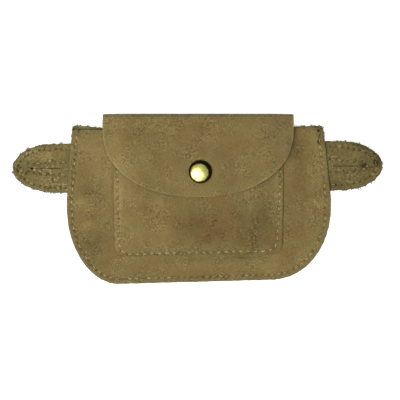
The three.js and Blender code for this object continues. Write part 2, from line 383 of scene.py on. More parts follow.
def tubes(
    centres: np.ndarray, across: np.ndarray, up: np.ndarray, radii: np.ndarray
) -> tuple[Space, np.ndarray]:
    """Skins many like tubes, closed at both ends.

    Args:
        centres: Middle points, tube by tube and step by step.
        across: Unit directions across each tube at each step.
        up: Unit directions square to those.
        radii: Radius for each tube, step and side.

    Returns:
        Points and triangles of all the tubes.
    """
    count, steps, sides = radii.shape
    right, high = ring(sides).T[:, :, None]
    around = across[:, :, None] * right + up[:, :, None] * high
    skin = centres[:, :, None] + around * radii[..., None]
    points = np.concatenate([skin.reshape(count, -1, 3), centres[:, [0, -1]]], axis=1)
    shift = np.arange(count)[:, None, None] * points.shape[1]
    return points.reshape(-1, 3), (ring_faces(steps, sides) + shift).reshape(-1, 3)


# Shaders


class Wire:
    """A value that runs through a shader, with maths on it."""

    def __init__(self, board: "Board", socket: bpy.types.NodeSocket) -> None:
        """Keeps the board and the socket that the value comes from."""
        self.board = board
        self.socket = socket

    def __add__(self, other: "Wire | float") -> "Wire":
        """This value plus another."""
        return self.board.maths("ADD", self, other)

    def __radd__(self, other: float) -> "Wire":
        """A number plus this value."""
        return self.board.maths("ADD", other, self)

    def __sub__(self, other: "Wire | float") -> "Wire":
        """This value less another."""
        return self.board.maths("SUBTRACT", self, other)

    def __rsub__(self, other: float) -> "Wire":
        """A number less this value."""
        return self.board.maths("SUBTRACT", other, self)

    def __mul__(self, other: "Wire | float") -> "Wire":
        """This value times another."""
        return self.board.maths("MULTIPLY", self, other)

    def __rmul__(self, other: float) -> "Wire":
        """A number times this value."""
        return self.board.maths("MULTIPLY", other, self)

    def ease(self, low: float, high: float) -> "Wire":
        """Eases this value from 0 at low to 1 at high.

        Args:
            low: Where the rise starts.
            high: Where the rise ends.

        Returns:
            The eased value.
        """
        return self.board.value(
            "ShaderNodeMapRange", "Result", {"interpolation_type": "SMOOTHSTEP", "clamp": True},
            {"Value": self, "From Min": low, "From Max": high, "To Min": 0.0, "To Max": 1.0},
        )


class Board:
    """A node tree that a finish or the light is wired on."""

    def __init__(self, tree: bpy.types.NodeTree) -> None:
        """Clears the tree and keeps it."""
        self.tree = tree
        self.tree.nodes.clear()

    def node(
        self, kind: str, settings: Settings | None = None, inputs: Inputs | None = None
    ) -> bpy.types.Node:
        """Adds a node.

        Args:
            kind: Type of the node.
            settings: The node's own settings, set first; "stops" are a ramp's places and colours.
            inputs: Values or wires for its sockets.

        Returns:
            The new node.
        """
        node = self.tree.nodes.new(kind)
        for key, value in (settings or {}).items():
            if key == "stops":
                self._set_stops(node.color_ramp, value)
            else:
                setattr(node, key, value)
        for key, value in (inputs or {}).items():
            if isinstance(value, Wire):
                self.tree.links.new(value.socket, node.inputs[key])
            else:
                node.inputs[key].default_value = value
        return node

    @staticmethod
    def _set_stops(ramp: bpy.types.ColorRamp, stops: Stops) -> None:
        """Sets a ramp's places and colours.

        Args:
            ramp: The ramp.
            stops: Its places and colours.
        """
        while len(ramp.elements) < len(stops):
            ramp.elements.new(1.0)
        for element, (place, colour) in zip(ramp.elements, stops):
            element.position = place
            element.color = colour

    def value(
        self, kind: str, out: str | int, settings: Settings | None = None, inputs: Inputs | None = None
    ) -> Wire:
        """Adds a node and takes one of its outputs."""
        return Wire(self, self.node(kind, settings, inputs).outputs[out])

    def maths(self, operation: str, first: Wire | float, second: Wire | float) -> Wire:
        """Adds one step of maths on two values."""
        return self.value("ShaderNodeMath", 0, {"operation": operation}, {0: first, 1: second})

    def blend(self, share: Wire | float, first: object, second: object, mode: str = "MIX") -> Wire:
        """Mixes a share of the second colour into the first one."""
        settings = {"data_type": "RGBA", "blend_type": mode, "clamp_factor": True}
        return self.value("ShaderNodeMix", 2, settings, {0: share, 6: first, 7: second})

    def mark(self, label: str) -> Wire:
        """Reads one of the mesh's values."""
        return self.value("ShaderNodeAttribute", "Fac", {"attribute_name": label})

    def place(self, label: str) -> Wire:
        """Reads one of the mesh's vectors."""
        return self.value("ShaderNodeAttribute", "Vector", {"attribute_name": label})

    def clouds(self, place: Wire, lump: float, detail: float = 2.0, roughness: float = 0.5) -> Wire:
        """Adds soft noise from 0 to 1, by the size of a lump in the units of the place."""
        inputs = {"Vector": place, "Scale": 1.0 / lump, "Detail": detail, "Roughness": roughness}
        return self.value("ShaderNodeTexNoise", "Fac", {"noise_dimensions": "3D"}, inputs)

    def ramp(self, value: Wire, stops: Stops) -> Wire:
        """Turns a value into a colour."""
        return self.value("ShaderNodeValToRGB", "Color", {"stops": stops}, {"Fac": value})

    def relief(self, height: Wire, depth: float, strength: float) -> Wire:
        """Raises fine relief, its depth in millimetres, and gives the surface's direction."""
        inputs = {"Strength": strength, "Distance": depth * MM, "Height": height}
        return self.value("ShaderNodeBump", "Normal", None, inputs)


class Finish:
    """A finish that ends in one plain surface shader."""

    name: str

    def wire(self, board: Board) -> Inputs:
        """Values or wires of the shader's sockets."""
        raise NotImplementedError

    def material(self) -> bpy.types.Material:
        """Makes the material.

        Returns:
            The material.
        """
        material = bpy.data.materials.new(self.name)
        material.use_nodes = True
        board = Board(material.node_tree)
        shader = board.value("ShaderNodeBsdfPrincipled", "BSDF", None, self.wire(board))
        board.node("ShaderNodeOutputMaterial", None, {"Surface": shader})
        return material


@dataclass(frozen=True)
class Suede(Finish):
    """Napped olive-tan hide."""

    name: str  # Name of the finish
    stops: Stops  # Colours from the darkest to the lightest nap
    warm: Colour  # Colour of the browner patches
    olive: Colour  # Colour of the greener patches
    moss: Colour  # Cast of the places where the nap is greyed green
    raw: Colour  # Colour of the faces at the cut edges
    core: Colour  # Colour of the cut through the hide
    pit: Colour  # Painted shade inside the needle holes; also the dark of loose fibres and of the darkest marks
    mottle: float  # Depth of the broad clouds
    fleck: float  # Depth of the small flecks
    speck: float  # Depth of the dark specks
    lump: float  # Size of a fleck
    fibre: float  # Size of a tuft of fibres
    nap: float  # Height of the nap

    # Clouds, each by the size of a lump, the octaves and the roughness
    BROAD = (24.0, 3.0, 0.55)
    PATCH = (6.5, 4.0, 0.6)
    ROUGH = (11.0, 3.0, 0.6)
    BROWN = (16.0, 4.0, 0.65)
    GREEN = (13.0, 4.0, 0.65)
    # Where a cloud starts and ends to show
    ROUGH_FROM = (0.4, 0.66)
    CAST_FROM = (0.5, 0.72)
    SPECK_FROM = (0.6, 0.72)

    def wire(self, board: Board) -> Inputs:
        """Wires the finish.

        Args:
            board: The material's board.

        Returns:
            Values or wires of the shader's sockets.
        """
        cut, warmth = board.place("cut"), board.mark("warm")
        broad, patch, rough, brown, green = (
            board.clouds(cut, *cloud)
            for cloud in (self.BROAD, self.PATCH, self.ROUGH, self.BROWN, self.GREEN)
        )
        fleck = board.clouds(cut, self.lump, detail=3.0, roughness=0.7)
        fibre = board.clouds(cut, self.fibre, roughness=0.6)
        speck = board.clouds(cut, 1.4 * self.lump, roughness=0.6).ease(*self.SPECK_FROM)
        rough = rough.ease(*self.ROUGH_FROM)
        tone = (
            0.5
            + (broad - 0.5) * self.mottle
            + (patch - 0.5) * self.mottle
            + (fleck - 0.5) * (0.35 + rough * 1.1) * self.fleck
            + (fibre - 0.5) * (0.45 + rough * 0.5) * self.fleck
            # The tone brings in the nap's patches, the painted shade and light among them, and the painted
            # shade along the edges
            + board.mark("tone") * 0.26
        )
        dusk = self.stops[0][1]
        colour = board.ramp(tone, self.stops)
        colour = board.blend(warmth + brown.ease(*self.CAST_FROM) * 0.5, colour, self.warm)
        colour = board.blend(green.ease(*self.CAST_FROM) * 0.5, colour, self.olive)
        colour = board.blend(0 - warmth, colour, self.moss, "MULTIPLY")
        for share, layer in (
            (speck * rough * self.speck, dusk),
            # The darkest tones take the holes' colour: dark specks, and the painted shade in the tabs' stop
            # holes
            ((0.1 - tone).ease(0.0, 0.3) * 0.9, self.pit),
            (board.mark("raw") * (0.3 + patch * 0.5), self.raw),
            (board.mark("core") * 0.75, self.core),
            # Painted shade in the seams' grooves and inside the needle holes; the loose fibres' own dark
            # comes in with the holes'
            (board.mark("seam") * 0.05, dusk),
            (board.mark("pit") * 0.95, self.pit),
        ):
            colour = board.blend(share, colour, layer)
        return {
            "Base Color": colour,
            "Roughness": 0.86 + (fleck - 0.5) * 0.2,
            "Specular IOR Level": 0.18,
            "Sheen Weight": 0.05,
            "Sheen Roughness": 0.55,
            "Normal": board.relief(fleck * 0.6 + fibre * 0.4, self.nap, 0.6),
        }


@dataclass(frozen=True)
class WaxedThread(Finish):
    """Tan sewing thread, lightly waxed."""

    name: str = "thread"  # Name of the finish
    light: Colour = tint(180, 164, 115)  # Colour of the clean thread
    dark: Colour = tint(100, 86, 50)  # Colour of the soiled thread

    def wire(self, board: Board) -> Inputs:
        """Wires the finish.

        Args:
            board: The material's board.

        Returns:
            Values or wires of the shader's sockets.
        """
        cut = board.place("cut")
        cloud = board.clouds(cut, 5.0, roughness=0.6)
        fuzz = board.clouds(cut, 0.25, roughness=0.6)
        soil = board.mark("soil") + (cloud - 0.5) * 1.2 + (fuzz - 0.5) * 0.4
        colour = board.blend(soil, self.light, self.dark)
        return {
            "Base Color": colour,
            "Roughness": 0.62 + (fuzz - 0.5) * 0.3,
            "Specular IOR Level": 0.3,
            "Normal": board.relief(fuzz, 0.1, 0.5),
        }


@dataclass(frozen=True)
class OldBrass(Finish):
    """Rubbed brass with a dark rim: patina, widened to the upper right as a painted dark reflection."""

    name: str = "brass"  # Name of the finish
    bright: Colour = (0.9, 0.85, 0.27, 1.0)  # Colour of the rubbed metal
    dull: Colour = (0.6, 0.56, 0.13, 1.0)  # Colour of the handled metal
    patina: Colour = (0.03, 0.017, 0.003, 1.0)  # Colour of the dark rim: patina and painted dark reflection

    def wire(self, board: Board) -> Inputs:
        """Wires the finish.

        Args:
            board: The material's board.

        Returns:
            Values or wires of the shader's sockets.
        """
        cut = board.place("cut")
        cloud = board.clouds(cut, 2.4, detail=3.0, roughness=0.6)
        scratch = board.clouds(cut, 0.4, detail=4.0, roughness=0.7)
        # Dark rim: patina, set off-centre so that it also paints the dome's dark reflection at the upper
        # right
        dark = (board.mark("rim") + (cloud - 0.5) * 0.08).ease(0.68, 0.82)
        metal = board.blend(cloud.ease(0.4, 0.7), self.bright, self.dull)
        return {
            "Base Color": board.blend(dark, metal, self.patina),
            "Metallic": 1.0,
            "Roughness": 0.285 + dark * 0.1 + (scratch - 0.5) * 0.1,
            "Normal": board.relief(scratch, 0.02, 0.3),
        }


@dataclass(frozen=True)
class PaleFloor(Finish):
    """Plain white sweep."""

    name: str = "pale_floor"  # Name of the finish
    colour: Colour = (0.93, 0.93, 0.93, 1.0)  # Colour of the floor
    glow: float = 0.66  # Light that the floor gives by itself

    def wire(self, board: Board) -> Inputs:
        """Wires the finish.

        Args:
            board: The material's board.

        Returns:
            Values or wires of the shader's sockets.
        """
        return {
            "Base Color": self.colour,
            "Roughness": 0.9,
            "Specular IOR Level": 0.1,
            "Emission Color": (1.0, 1.0, 1.0, 1.0),
            "Emission Strength": self.glow,
        }


class Finishes:
    """The pouch's finishes, each made once."""

    def __init__(self) -> None:
        """Makes the materials."""
        body = Suede(
            name="suede",
            stops=((0.1, tint(91, 77, 43)), (0.5, tint(126, 108, 64)), (0.9, tint(157, 139, 91))),
            warm=tint(127, 99, 58), olive=tint(117, 107, 62), moss=(0.92, 1.15, 1.35, 1.0),
            raw=tint(157, 141, 95), core=tint(104, 78, 44), pit=tint(50, 38, 17),
            mottle=0.29, fleck=1.5, speck=0.9, lump=1.15, fibre=0.3, nap=0.25,
        )
        tabs = Suede(
            name="tab_suede",
            stops=(
                (0.1, tint(74, 66, 36)), (0.5, tint(120, 105, 62)),
                (0.9, tint(160, 145, 98)), (1.0, tint(205, 190, 145)),
            ),
            warm=tint(118, 96, 54), olive=tint(106, 100, 58), moss=(0.88, 1.06, 1.08, 1.0),
            raw=tint(94, 84, 51), core=tint(86, 70, 38), pit=tint(46, 36, 16),
            mottle=0.5, fleck=1.75, speck=0.9, lump=1.7, fibre=0.62, nap=0.5,
        )
        finishes = (body, tabs, WaxedThread(), OldBrass(), PaleFloor())
        self.made = {finish.name: finish.material() for finish in finishes}

    def dress(self, piece: bpy.types.Object, name: str) -> None:
        """Gives a piece a finish.

        Args:
            piece: The piece.
            name: Name of the finish.
        """
        piece.data.materials.clear()
        piece.data.materials.append(self.made[name])


# Hides and their stitches


@dataclass(frozen=True)
class NapAndShadeMark:
    """A patch where the nap is lighter, darker, browner or greener; some patches are painted shade or
    painted light.
    """

    x: float  # Middle of the patch across
    y: float  # Middle of the patch up the pouch
    width: float  # Half of its width
    height: float  # Half of its height
    tone: float  # How much lighter it is, or darker below 0
    warm: float = 0.0  # How much browner it is, or greener below 0

    # Size of its edge's strays, their reach, and the most that they take of its half sizes
    WAVE = 5.0
    STRAY = 1.6
    STRAY_SHARE = 0.4

    def cover(self, plan: Plane) -> Reals:
        """Share of the patch at each place.

        Args:
            plan: Places in the flat.

        Returns:
            Shares from 0 to 1.
        """
        stray = np.column_stack([grain(plan, self.WAVE, 71), grain(plan, self.WAVE, 72)])
        stray *= min(self.STRAY, self.STRAY_SHARE * self.width, self.STRAY_SHARE * self.height)
        away = (plan + stray - (self.x, self.y)) / (self.width, self.height)
        return np.exp(-(away**2).sum(axis=1))


def patches(*rows: tuple[float, ...]) -> tuple[NapAndShadeMark, ...]:
    """Patches of the nap and of painted shade and light, a row each: place, half width, half height, tone,
    and warmth where it has any.
    """
    return tuple(NapAndShadeMark(*row) for row in rows)


@dataclass(frozen=True)
class Seam:
    """A row of stitches along a line of the flat pattern."""

    name: str  # Name of the row's thread
    line: Plane  # Points of the row
    pitch: float  # Distance from one stitch to the next
    slant: float = 0.3  # How far each end of a stitch leans out of the row
    wander: float = 0.2  # How far the stitches stray
    soil: float = 0.4  # How dark the thread has become
    spread: float = 0.35  # How much that varies from stitch to stitch
    seed: int = 1  # Start of the row's random draws
    bridge: float = 0.5  # Share of the pitch between two stitches
    bore: float = 0.58  # Width of the needle holes
    pull: float = 0.0  # How much deeper the stitches are pulled in
    faded: Field = steady(0.0)  # How far the row has taken the hide's colour, place by place

    # Least and most of the gap between two stitches, as shares
    GAPS = (0.7, 1.25)

    @cached_property
    def ends(self) -> tuple[Plane, Plane]:
        """Places the needle holes.

        Returns:
            The holes at the start and those at the end of each stitch.
        """
        marks = resample(self.line, self.pitch)
        draws = np.random.default_rng(self.seed)
        marks = marks + draws.uniform(-self.wander, self.wander, marks.shape)
        run = np.diff(marks, axis=0)
        lean = leftward(marks)[:-1] * self.slant
        gap = run * self.bridge / 2 * draws.uniform(*self.GAPS, (len(run), 1))
        return marks[:-1] + gap + lean, marks[1:] - gap - lean

    @property
    def holes(self) -> Plane:
        """All needle holes."""
        return np.concatenate(self.ends)


@dataclass
class Hide:
    """A cut piece of hide, meshed fine from its flat pattern."""

    node: str  # The solid that it replaces
    outline: Plane  # Edge of the pattern
    surface: Callable[[Plane], Space]  # Lays places of the pattern on the hide's middle surface
    thickness: float  # Thickness of the hide
    finish: str = "suede"  # Name of its finish
    openings: Sequence[Plane] = ()  # Loops cut out of it
    seams: Sequence[Seam] = ()  # Rows of stitches through it
    marks: Sequence[NapAndShadeMark] = ()  # Patches of its nap, some of them painted shade or painted light
    edge_tone: Field = steady(0.0)  # Tone painted along the cut edge, place by place; below 0 it is painted shade
    edge_green: float = 0.0  # How much greener it is there
    edge_width: float = 2.8  # How far in from the edge that reaches
    pale_rim: Field = steady(1.0)  # How pale the very edge is, place by place: the cut edge's own colour with a painted highlight where the edge catches the light
    pale_rim_width: float = 0.75  # Width of that pale rim
    groove: float = 0.3  # Depth of the seams' grooves
    bevel: float = 0.5  # Width of the cut edge's rounding
    lip: float = 0.55  # Share of the thickness left at the very edge
    rubs: Sequence[Plane] = ()  # Lines along other hides' edges where their contact shadow is painted dark
    step: float = 0.85  # Size of its facets
    fray: float = 0.12  # How far its cut edge strays
    seed: int = 1  # Start of its random fields
    # Points along the middle of the cut edge, once it is built
    rim: Space = field(default_factory=lambda: np.empty((0, 3)), init=False)
    # Directions out of the cut edge there
    rim_out: Space = field(default_factory=lambda: np.empty((0, 3)), init=False)

    # The mesh along the cut edge and round the needle holes
    EDGE_STEP = 0.7
    EDGE_RINGS = (0.14, 0.4, 0.85)
    EDGE_OUT = 0.12
    PIT_RINGS = ((0.0, 1), (0.35, 6), (0.7, 9))
    # Distances that points keep; the first is a share of the step, the second of a ring's depth
    LATTICE_CLEAR = 0.45
    RING_CLEAR = 0.9
    PIT_CLEAR = 0.35
    PIT_FROM_EDGE = 0.3
    # Relief: grooves, needle holes, the nap's lumps and the edge's strays
    GROOVE_WIDTH = 1.0
    PIT_DEPTH = 0.7
    PIT_SHARES = (0.35, 1.0)
    PIT_REACH = 2.0
    FADED_PIT = 0.6
    MOST_DENT = 0.8
    LUMP = 0.06
    LUMPS = ((1.0, 1.7, 5), (0.6, 0.9, 6))
    STRAYS = ((1.0, 2.6, 1), (0.7, 1.1, 2))
    # Colour: where the painted shade along the edge is full, the painted contact shadow along other hides'
    # edges, and where each hide reads its clouds
    EDGE_FULL = 0.6
    SHADOW_LINE_DEPTH = 0.38
    SHADOW_LINE_WIDTH = 0.9
    SHADOW_LINE_EVEN = 0.8
    SHADOW_LINE_WAVES = ((0.7, 12.0, 8),)
    CLOUD_SHIFT = (41.0, 17.0)
    FACE_SHIFT = 2.0

    @property
    def name(self) -> str:
        """Name of the piece."""
        return f"{self.node}_hide"

    def build(self, finishes: Finishes) -> bpy.types.Object:
        """Meshes and dresses the hide.

        Args:
            finishes: The pouch's finishes.

        Returns:
            The piece.
        """
        loops = [self._frayed(self.outline)]
        loops += [resample(loop, self.EDGE_STEP, closed=True) for loop in self.openings]
        plan, triangles = self._triangulate(loops)
        count = len(plan)
        away = [distance_to(plan, loop, closed=True) for loop in loops]
        cut = np.min(away, axis=0)
        middle = self.surface(plan)
        out = vertex_normals(middle, triangles)
        share = 1 - np.clip(cut / self.bevel, 0, 1)
        half = self.thickness / 2 * (self.lip + (1 - self.lip) * np.sqrt(1 - share**2))
        seam, pit = self._sewing(plan)
        dent = np.minimum(self.groove * seam + self.PIT_DEPTH * pit, self.MOST_DENT * half)
        lump = self.LUMP * waves(plan, self.LUMPS, self.seed)
        rise = out * (half - dent + lump * (1 - share))[:, None]
        ids, rim, rim_faces = self._rim(middle, out, triangles)
        points = np.concatenate([middle + rise, middle - rise, rim])
        faces = np.concatenate([triangles, triangles[:, ::-1] + count, rim_faces])
        tone, warm = self._nap_and_shade(plan, away[0])
        # Pale rim at the very edge: the cut edge's own colour with a painted highlight
        raw = self.pale_rim(plan) * np.clip(1 - cut / self.pale_rim_width, 0, 1)
        looks = {"tone": tone, "warm": warm, "raw": raw, "core": np.zeros(count), "seam": seam, "pit": pit}
        looks["cut"] = plan + self.seed * np.array(self.CLOUD_SHIFT)
        marks = {label: np.concatenate([look, look, look[ids]]) for label, look in looks.items()}
        marks["raw"][2 * count :] = marks["core"][2 * count :] = 1.0
        depths = np.repeat([self.FACE_SHIFT, -self.FACE_SHIFT, 0.0], [count, count, len(ids)])
        marks["cut"] = np.column_stack([marks["cut"], depths])
        piece = make_piece(self.name, points, faces, marks)
        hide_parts(self.node)
        finishes.dress(piece, self.finish)
        return piece

    def face(self, plan: Plane, face: Face) -> tuple[Space, Space]:
        """Finds places on one face of the hide.

        Args:
            plan: Places in the flat.
            face: Which face.

        Returns:
            Points on the face, and the directions out of it.
        """
        nudge = 0.05
        across = self.surface(plan + (nudge, 0)) - self.surface(plan - (nudge, 0))
        along = self.surface(plan + (0, nudge)) - self.surface(plan - (0, nudge))
        out = unit(np.cross(across, along)) * face.value
        return self.surface(plan) + out * self.thickness / 2, out

    @property
    def flat_size(self) -> tuple[float, float]:
        """Width and length of the pattern, in metres."""
        width, length = (self.outline.max(axis=0) - self.outline.min(axis=0)) * MM
        return float(width), float(length)

    @property
    def flat_area(self) -> float:
        """Area inside the pattern's outline, in square metres."""
        x, y = self.outline.T
        return float(abs(np.dot(x, np.roll(y, -1)) - np.dot(y, np.roll(x, -1))) / 2 * MM * MM)

    def _frayed(self, loop: Plane) -> Plane:
        """Gives a loop the small strays of a knife and of loose fibres.

        Args:
            loop: Points of the loop.

        Returns:
            The strayed points.
        """
        points = resample(loop, self.EDGE_STEP, closed=True)
        stray = self.fray * waves(points, self.STRAYS, self.seed)
        return points + leftward(points, closed=True) * stray[:, None]

    def _nap_and_shade(self, plan: Plane, away: Reals) -> tuple[Reals, Reals]:
        """How the nap's colour changes over the hide, with painted shade along its edge and painted contact
        shadow along other hides' edges.

        Args:
            plan: Places in the flat.
            away: Their distances from the outline.

        Returns:
            How much lighter and how much browner each place is.
        """
        # Painted shade along the cut edge, which is also greener
        near = 1 - smoothstep(away, self.EDGE_FULL, self.edge_width)
        tone, warm = self.edge_tone(plan) * near, -self.edge_green * near
        for mark in self.marks:
            cover = mark.cover(plan)
            tone, warm = tone + mark.tone * cover, warm + mark.warm * cover
        # Painted contact shadow along the edges of the hides that lie on this one
        uneven = self.SHADOW_LINE_DEPTH * (self.SHADOW_LINE_EVEN + waves(plan, self.SHADOW_LINE_WAVES, self.seed))
        for line in self.rubs:
            tone = tone - uneven * np.exp(-((distance_to(plan, line) / self.SHADOW_LINE_WIDTH) ** 2))
        return tone, warm

    def _triangulate(self, loops: Sequence[Plane]) -> tuple[Plane, np.ndarray]:
        """Fills the pattern with fine triangles.

        Args:
            loops: Outline and openings.

        Returns:
            Places in the flat, and rows of three place numbers.
        """
        low, high = loops[0].min(axis=0), loops[0].max(axis=0)
        rows = np.arange(low[1], high[1], self.step * math.sqrt(0.75))
        columns = np.arange(low[0], high[0], self.step)
        lattice = np.concatenate([
            np.column_stack([columns + self.step / 2 * (i % 2), np.full(len(columns), row)])
            for i, row in enumerate(rows)
        ])
        lattice = self._clear_of(lattice, loops, self.EDGE_RINGS[-1] + self.LATTICE_CLEAR * self.step)
        pits = np.concatenate([np.empty((0, 2)), *(seam.holes for seam in self.seams)])
        reach = self.PIT_RINGS[-1][0] + self.PIT_CLEAR
        for hole in pits:
            lattice = lattice[((lattice - hole) ** 2).sum(axis=1) > reach**2]
        inner = [lattice]
        for loop in loops:
            side = leftward(loop, closed=True)
            for depth in self.EDGE_RINGS:
                for way in (1, -1):
                    row = loop + way * depth * side
                    inner.append(self._clear_of(row, loops, self.RING_CLEAR * depth))
        for radius, count in self.PIT_RINGS:
            round_pits = (pits[:, None] + radius * ring(count)).reshape(-1, 2)
            inner.append(self._clear_of(round_pits, loops, self.PIT_FROM_EDGE))
        points = np.concatenate([*loops, *inner])
        edges, start = [], 0
        for loop in loops:
            ids = start + np.arange(len(loop))
            edges += list(zip(ids.tolist(), np.roll(ids, -1).tolist()))
            start += len(loop)
        made = delaunay_2d_cdt([Vector(point) for point in points.tolist()], edges, [], 0, 1e-5, False)
        plan = np.array([(point.x, point.y) for point in made[0]])
        triangles = np.array([face for face in made[2] if len(face) == 3])
        triangles = triangles[self._within(plan[triangles].mean(axis=1), loops)]
        a, b, c = (plan[triangles[:, k]] for k in range(3))
        turn = (b - a)[:, 0] * (c - a)[:, 1] - (b - a)[:, 1] * (c - a)[:, 0]
        triangles = np.where((turn < 0)[:, None], triangles[:, ::-1], triangles)
        used, triangles = np.unique(triangles, return_inverse=True)
        return plan[used], triangles.reshape(-1, 3)

    @staticmethod
    def _within(points: Plane, loops: Sequence[Plane]) -> np.ndarray:
        """Tells which points lie in the outline and in no opening.

        Args:
            points: Points to test.
            loops: Outline and openings.

        Returns:
            True for each point inside.
        """
        inside = is_inside(points, loops[0])
        for loop in loops[1:]:
            inside &= ~is_inside(points, loop)
        return inside

    def _clear_of(self, points: Plane, loops: Sequence[Plane], margin: float) -> Plane:
        """Keeps the points that lie in the pattern and away from its edges.

        Args:
            points: Points to choose from.
            loops: Outline and openings.
            margin: Distance to keep.

        Returns:
            The points kept.
        """
        points = points[self._within(points, loops)]
        away = np.min([distance_to(points, loop, closed=True) for loop in loops], axis=0)
        return points[away >= margin]

    def _sewing(self, plan: Plane) -> tuple[Reals, Reals]:
        """Finds the seams' grooves and needle holes.

        Args:
            plan: Places in the flat.

        Returns:
            Shares of a groove and of a hole at each place.
        """
        seam, pit = np.zeros(len(plan)), np.zeros(len(plan))
        for row in self.seams:
            seam = np.maximum(seam, np.exp(-((distance_to(plan, row.line) / self.GROOVE_WIDTH) ** 2)))
            draws = np.random.default_rng(row.seed + 100)
            depths = draws.uniform(*self.PIT_SHARES, len(row.holes))
            depths *= 1 - self.FADED_PIT * row.faded(row.holes)
            for hole, depth in zip(row.holes, depths):
                away = ((plan - hole) ** 2).sum(axis=1)
                near = away < self.PIT_REACH**2
                pit[near] = np.maximum(pit[near], depth * np.exp(-away[near] / row.bore**2))
        return seam, pit

    def _rim(
        self, middle: Space, out: Space, triangles: np.ndarray
    ) -> tuple[np.ndarray, Space, np.ndarray]:
        """Closes the cut edge between the two faces.

        Args:
            middle: Points of the middle surface.
            out: Directions out of it.
            triangles: Its triangles.

        Returns:
            Numbers of the points on the edge, the edge's own points, and its triangles.
        """
        count = len(middle)
        edges = np.concatenate([triangles[:, [0, 1]], triangles[:, [1, 2]], triangles[:, [2, 0]]])
        lone = ~np.isin(edges[:, 0] * count + edges[:, 1], edges[:, 1] * count + edges[:, 0])
        edges = edges[lone]
        ids = np.unique(edges)
        place = np.full(count, -1)
        place[ids] = 2 * count + np.arange(len(ids))
        a, b = edges.T
        outward = np.zeros_like(middle)
        for end in (a, b):
            np.add.at(outward, end, np.cross(middle[b] - middle[a], out[end]))
        self.rim_out = unit(outward[ids])
        self.rim = middle[ids] + self.rim_out * self.EDGE_OUT
        faces = np.concatenate([
            np.stack([a, place[a], b], 1),
            np.stack([b, place[a], place[b]], 1),
            np.stack([place[a], a + count, place[b]], 1),
            np.stack([place[b], a + count, b + count], 1),
        ])
        return ids, self.rim, faces


@dataclass(frozen=True)
class Needlework:
    """Sews rows of stitches."""

    radius: float = 0.31  # Radius of the thread
    rise: float = 0.14  # How far a stitch stands above the groove's floor at its middle
    inner_drop: float = 0.3  # How much lower it stands on a hide's inner face
    sink: float = 0.75  # How far its ends go down into the needle holes
    fullness: float = 0.55  # Power of its arch; a low one is flat on top
    trim: float = 0.1  # Share of a stitch left off at each end, where the hole shows
    ply: float = 0.16  # Depth of the twist between the thread's strands
    turns: float = 1.5  # Turns of the twist in a stitch
    swell: Span = (0.85, 1.15)  # Least and most of the thread's thickness, as shares
    fade: float = 0.4  # Share of a row's fading that soils its thread
    steps: int = 9  # Steps along a stitch
    sides: int = 8  # Sides of the thread

    def sew(self, seam: Seam, hide: Hide, face: Face, finishes: Finishes) -> bpy.types.Object:
        """Makes one row's stitches on one face of a hide.

        Args:
            seam: The row.
            hide: The hide that it shows on.
            face: The face that it shows on.
            finishes: The pouch's finishes.

        Returns:
            The row's thread.
        """
        starts, ends = seam.ends
        draws = np.random.default_rng(seam.seed + 200)
        soil = seam.soil + self.fade * seam.faded(starts)
        soil = np.clip(soil + draws.normal(0, seam.spread, len(starts)), 0, 1)
        swell = draws.uniform(*self.swell, len(starts))
        share = np.linspace(0, 1, self.steps)
        trim = (ends - starts) * self.trim
        starts, ends = starts + trim, ends - trim
        plan = starts[:, None] + (ends - starts)[:, None] * share[None, :, None]
        points, out = hide.face(plan.reshape(-1, 2), face)
        points, out = points.reshape(*plan.shape[:2], 3), out.reshape(*plan.shape[:2], 3)
        arch = np.sin(np.pi * share) ** self.fullness
        rise = self.rise if face is Face.OUTER else self.rise - self.inner_drop
        lift = -hide.groove - self.sink + (self.sink + rise - seam.pull) * arch
        centres = points + out * lift[None, :, None]
        run = unit(np.gradient(centres, axis=1))
        across = unit(np.cross(run, out))
        up = np.cross(across, run)
        turn = np.arange(self.sides) * 2 * math.pi / self.sides
        twist = turn[None, :] * 2 + share[:, None] * self.turns * 2 * math.pi
        radii = self.radius * (1 + self.ply * np.cos(twist)) * swell[:, None, None]
        skin, faces = tubes(centres, across, up, radii)
        name = seam.name if face is Face.OUTER else f"{seam.name}_behind"
        marks = {"cut": skin, "soil": np.repeat(soil, len(skin) // len(soil))}
        piece = make_piece(name, skin, faces, marks)
        finishes.dress(piece, "thread")
        return piece


